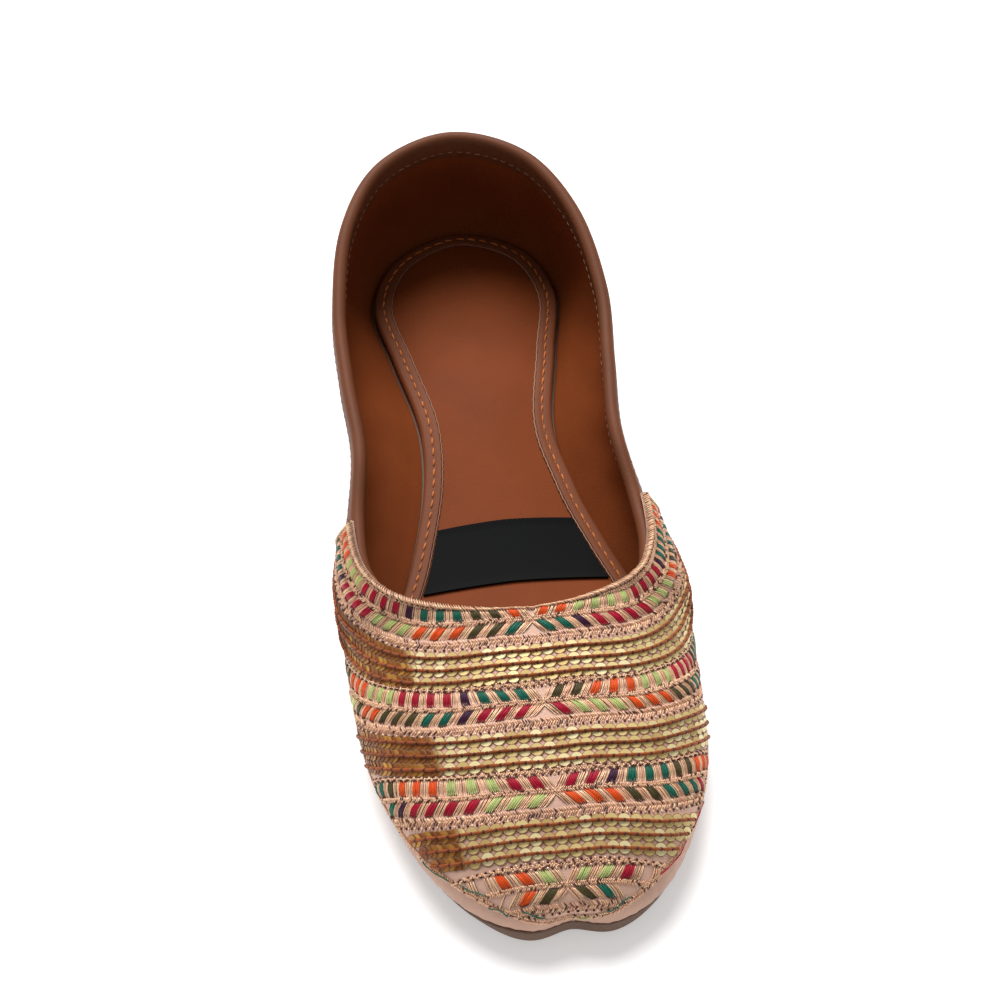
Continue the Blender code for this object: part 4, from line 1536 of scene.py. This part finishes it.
def make_sequins():
    """Round gilt sequins in overlapping rows, with dark edge rings that are partly their rolled rims and
    partly painted shadow where the discs overlap. The amber ones are crowded.
    """
    pile = Pile()
    sides = 16
    turns = round_turns(sides)
    radii = np.array([0.25, SEQUIN_RADIUS * 0.90, SEQUIN_RADIUS, SEQUIN_RADIUS * 0.98, 0.25])[:, None]
    heights = np.array([0.00, 0.03, 0.00, -0.06, -0.06])[:, None]
    faces = grid_faces(5, sides, 0, False, True)
    is_edge = np.arange(len(faces)) // sides == 1
    for zone, r in cord_rows():
        for place in sequin_row(zone, r, SEQUIN_PITCH / 2):
            x, y, _ = zone.place(r, place, 0.0)
            # Past the line of the painted amber reflection the sequins are set at half pitch, crowded
            if x + AMBER_REFLECTION_SLANT * y > AMBER_REFLECTION_FROM and round(place / SEQUIN_PITCH * 2) % 2:
                continue
            lean_s, lean_r = 0.10 + chance.normal(0, 0.02), 0.03 + chance.normal(0, 0.02)
            dr, ds = radii * np.cos(turns), radii * np.sin(turns)
            h = SEQUIN_LIFT + heights + ds * lean_s - dr * lean_r
            shift = chance.normal(0, 0.07, 2)
            points = zone.place(r + dr + shift[0], place + ds + shift[1], h).reshape(-1, 3)
            pile.add(points, faces[~is_edge])
            # The edge ring: partly rolled rim, partly painted shadow
            pile.add(points, faces[is_edge], 1)
    return pile.piece("sequins", ["sequin", "outline"])


def make_cords():
    """Rust cords over the sequins, tied down at the middle of each."""
    pile = Pile()
    for zone, r in cord_rows():
        low, high = zone.ends(r)
        s = np.arange(low + 0.2, high - 0.2, 0.3)
        pinch = np.cos(2 * math.pi * s / SEQUIN_PITCH)
        wander = 0.04 * np.sin(s * 0.7 + r) + 0.02 * np.sin(s * 2.3)
        tip = smooth(0, 1.5, np.minimum(s - s[0], s[-1] - s))
        twist = 0.035 * np.sin(2 * math.pi * s / 1.05)
        radius = (CORD_RADIUS - 0.04 * pinch + twist + chance.normal(0, 0.02, len(s))) * (0.4 + 0.6 * tip)
        lift = CORD_LIFT - 0.05 * pinch - 0.9 * (1 - tip)
        pile.add(*tubes(cord_rings(zone, r + wander, s, lift, radius, 7)))
        ties = sequin_row(zone, r)
        starts, ends = spots(r - 0.48, ties - 0.15), spots(r + 0.48, ties + 0.15)
        pile.sew(zone, starts, ends, THREADS["tie"], 1)
    return pile.piece("rust_cords", ["rust", "knot_and_shadow"])


# Stitches of the collar and of the insole's rim
def plain_tube(points, ups, radius):
    """Points and faces of a round thread that tapers at both ends."""
    swell = np.sqrt(np.clip(np.sin(np.linspace(0, math.pi, len(points))), 0.15, 1))
    return tubes(tube_rings(points, ups, radius * swell))


def running_stitches(pile, line, ups, sizes):
    """Stitches along a line of points, each bowed up a little and diving in at its ends."""
    long, pitch, radius, sink, slant = (size * MM for size in sizes)
    length = np.concatenate([[0], np.cumsum(np.linalg.norm(np.diff(line, axis=0), axis=-1))])
    for begin in np.arange(pitch, length[-1] - long, pitch):
        places = np.linspace(begin, begin + long * chance.uniform(0.85, 1.1), 7)
        points, up = (vec(*(np.interp(places, length, part) for part in of.T)) for of in (line, ups))
        up = unit(up)
        side = unit(np.cross(np.gradient(points, axis=0), up))
        t = np.linspace(-1, 1, 7)[:, None]
        points = points + side * t * slant + up * (radius * 0.7 - sink * t**4)
        pile.add(*plain_tube(points, up, radius))


def make_rim_stitches():
    pile = Pile()
    stations = np.linspace(5.75, LAST_STATION - 0.001, 500)
    lift = GAP * 0.5 + RIM_THICKNESS - 0.12 * MM
    line = joined([rim_place(stations, side, RIM_SEAM * RIM_WIDTH, lift) for side in (LATERAL, MEDIAL)])
    ups = np.tile([0.0, 0.0, 1.0], (len(line), 1))
    running_stitches(pile, line, ups, RIM_STITCH)
    return pile.piece("rim_stitches", ["stitch"])


def make_raw_edge():
    """The pale cut edge of the rim's leather, a little frayed."""
    pile = Pile()
    stations = np.linspace(5.66, LAST_STATION - 0.001, 500)
    ups = np.tile([0.0, 0.0, 1.0], (len(stations), 1))
    for side, radius in ((LATERAL, 0.12 * MM), (MEDIAL, 0.20 * MM)):
        fray = 0.10 * MM * np.sin(stations * 61) * np.sin(stations * 23 + side)
        line = rim_place(stations, side, RIM_WIDTH - 0.05 * MM + fray, GAP * 0.5 + RIM_THICKNESS * 0.45)
        pile.add(*plain_tube(line, ups, radius))
    return pile.piece("rim_raw_edge", ["raw_edge"])


def make_collar_stitches():
    """One line of stitches through the tape, seen inside and outside."""
    pile = Pile()
    stations = np.linspace(6.75, LAST_STATION - 0.001, 600)
    for turn, facing, sizes in ((-TAPE_SEAM, 1, OUTER_STITCH), (1 + TAPE_SEAM, -1, INNER_STITCH)):
        lines, ups = [], []
        for side in (LATERAL, MEDIAL):
            lines.append(binding_sheet(stations, side, [turn], GAP + BINDING_WALL - 0.05 * MM)[:, 0])
            ups.append(outward(stations, side, 0.9) * facing)
        running_stitches(pile, joined(lines), joined(ups), sizes)
    return pile.piece("collar_stitches", ["tan"])


# Floor, light and camera
def make_stage():
    mesh = bpy.data.meshes.new("floor")
    corners = [(x * FLOOR_HALF, y * FLOOR_HALF, 0) for x, y in ((-1, -1), (1, -1), (1, 1), (-1, 1))]
    mesh.from_pydata(corners, [], [(0, 1, 2, 3)])
    floor = put("floor", mesh)
    inputs = {
        "Base Color": (0.86, 0.86, 0.86, 1.0),
        "Roughness": 0.9,
        "Specular IOR Level": 0.1,
        "Emission Color": (1.0, 1.0, 1.0, 1.0),
        "Emission Strength": FLOOR_GLOW,
    }
    mesh.materials.append(Paint("floor_white").finished(inputs))


def make_light():
    """A wide soft light from above and behind, with a pale room all round."""
    world = bpy.data.worlds.new("studio")
    bpy.context.scene.world = world
    world.use_nodes = True
    back = world.node_tree.nodes["Background"]
    back.inputs["Color"].default_value = (1.0, 1.0, 1.0, 1.0)
    back.inputs["Strength"].default_value = ROOM_STRENGTH
    light = bpy.data.lights.new("key", "SUN")
    light.energy = SUN_STRENGTH
    light.angle = math.radians(SUN_WIDTH)
    put("key", light).rotation_euler = Vector(LIGHT_FROM).to_track_quat("Z", "Y").to_euler()
    bpy.context.scene.view_settings.view_transform = "Standard"


def make_camera():
    """The photograph's view, aimed at the middle of the shoe's box."""
    low, high = cad_box
    camera = bpy.data.cameras.new("camera")
    camera.sensor_width = SENSOR
    camera.lens = SENSOR * CAMERA_PIXELS / FRAME_PIXELS
    camera.clip_start = 0.01
    thing = put("camera", camera)
    thing.location = Vector(CAMERA_PLACE)
    thing.rotation_euler = ((low + high) / 2 - thing.location).to_track_quat("-Z", "Y").to_euler()
    bpy.context.scene.camera = thing


make_stage()
make_light()
make_camera()
make_vamp_base()
make_upper()
make_binding()
make_outsole()
make_heel()
make_insole()
make_rim()
make_ribbon()
make_blocks()
make_copper()
make_borders()
make_braids()
make_sequins()
make_cords()
make_edging()
make_loose_ends()
make_rim_stitches()
make_raw_edge()
make_collar_stitches()
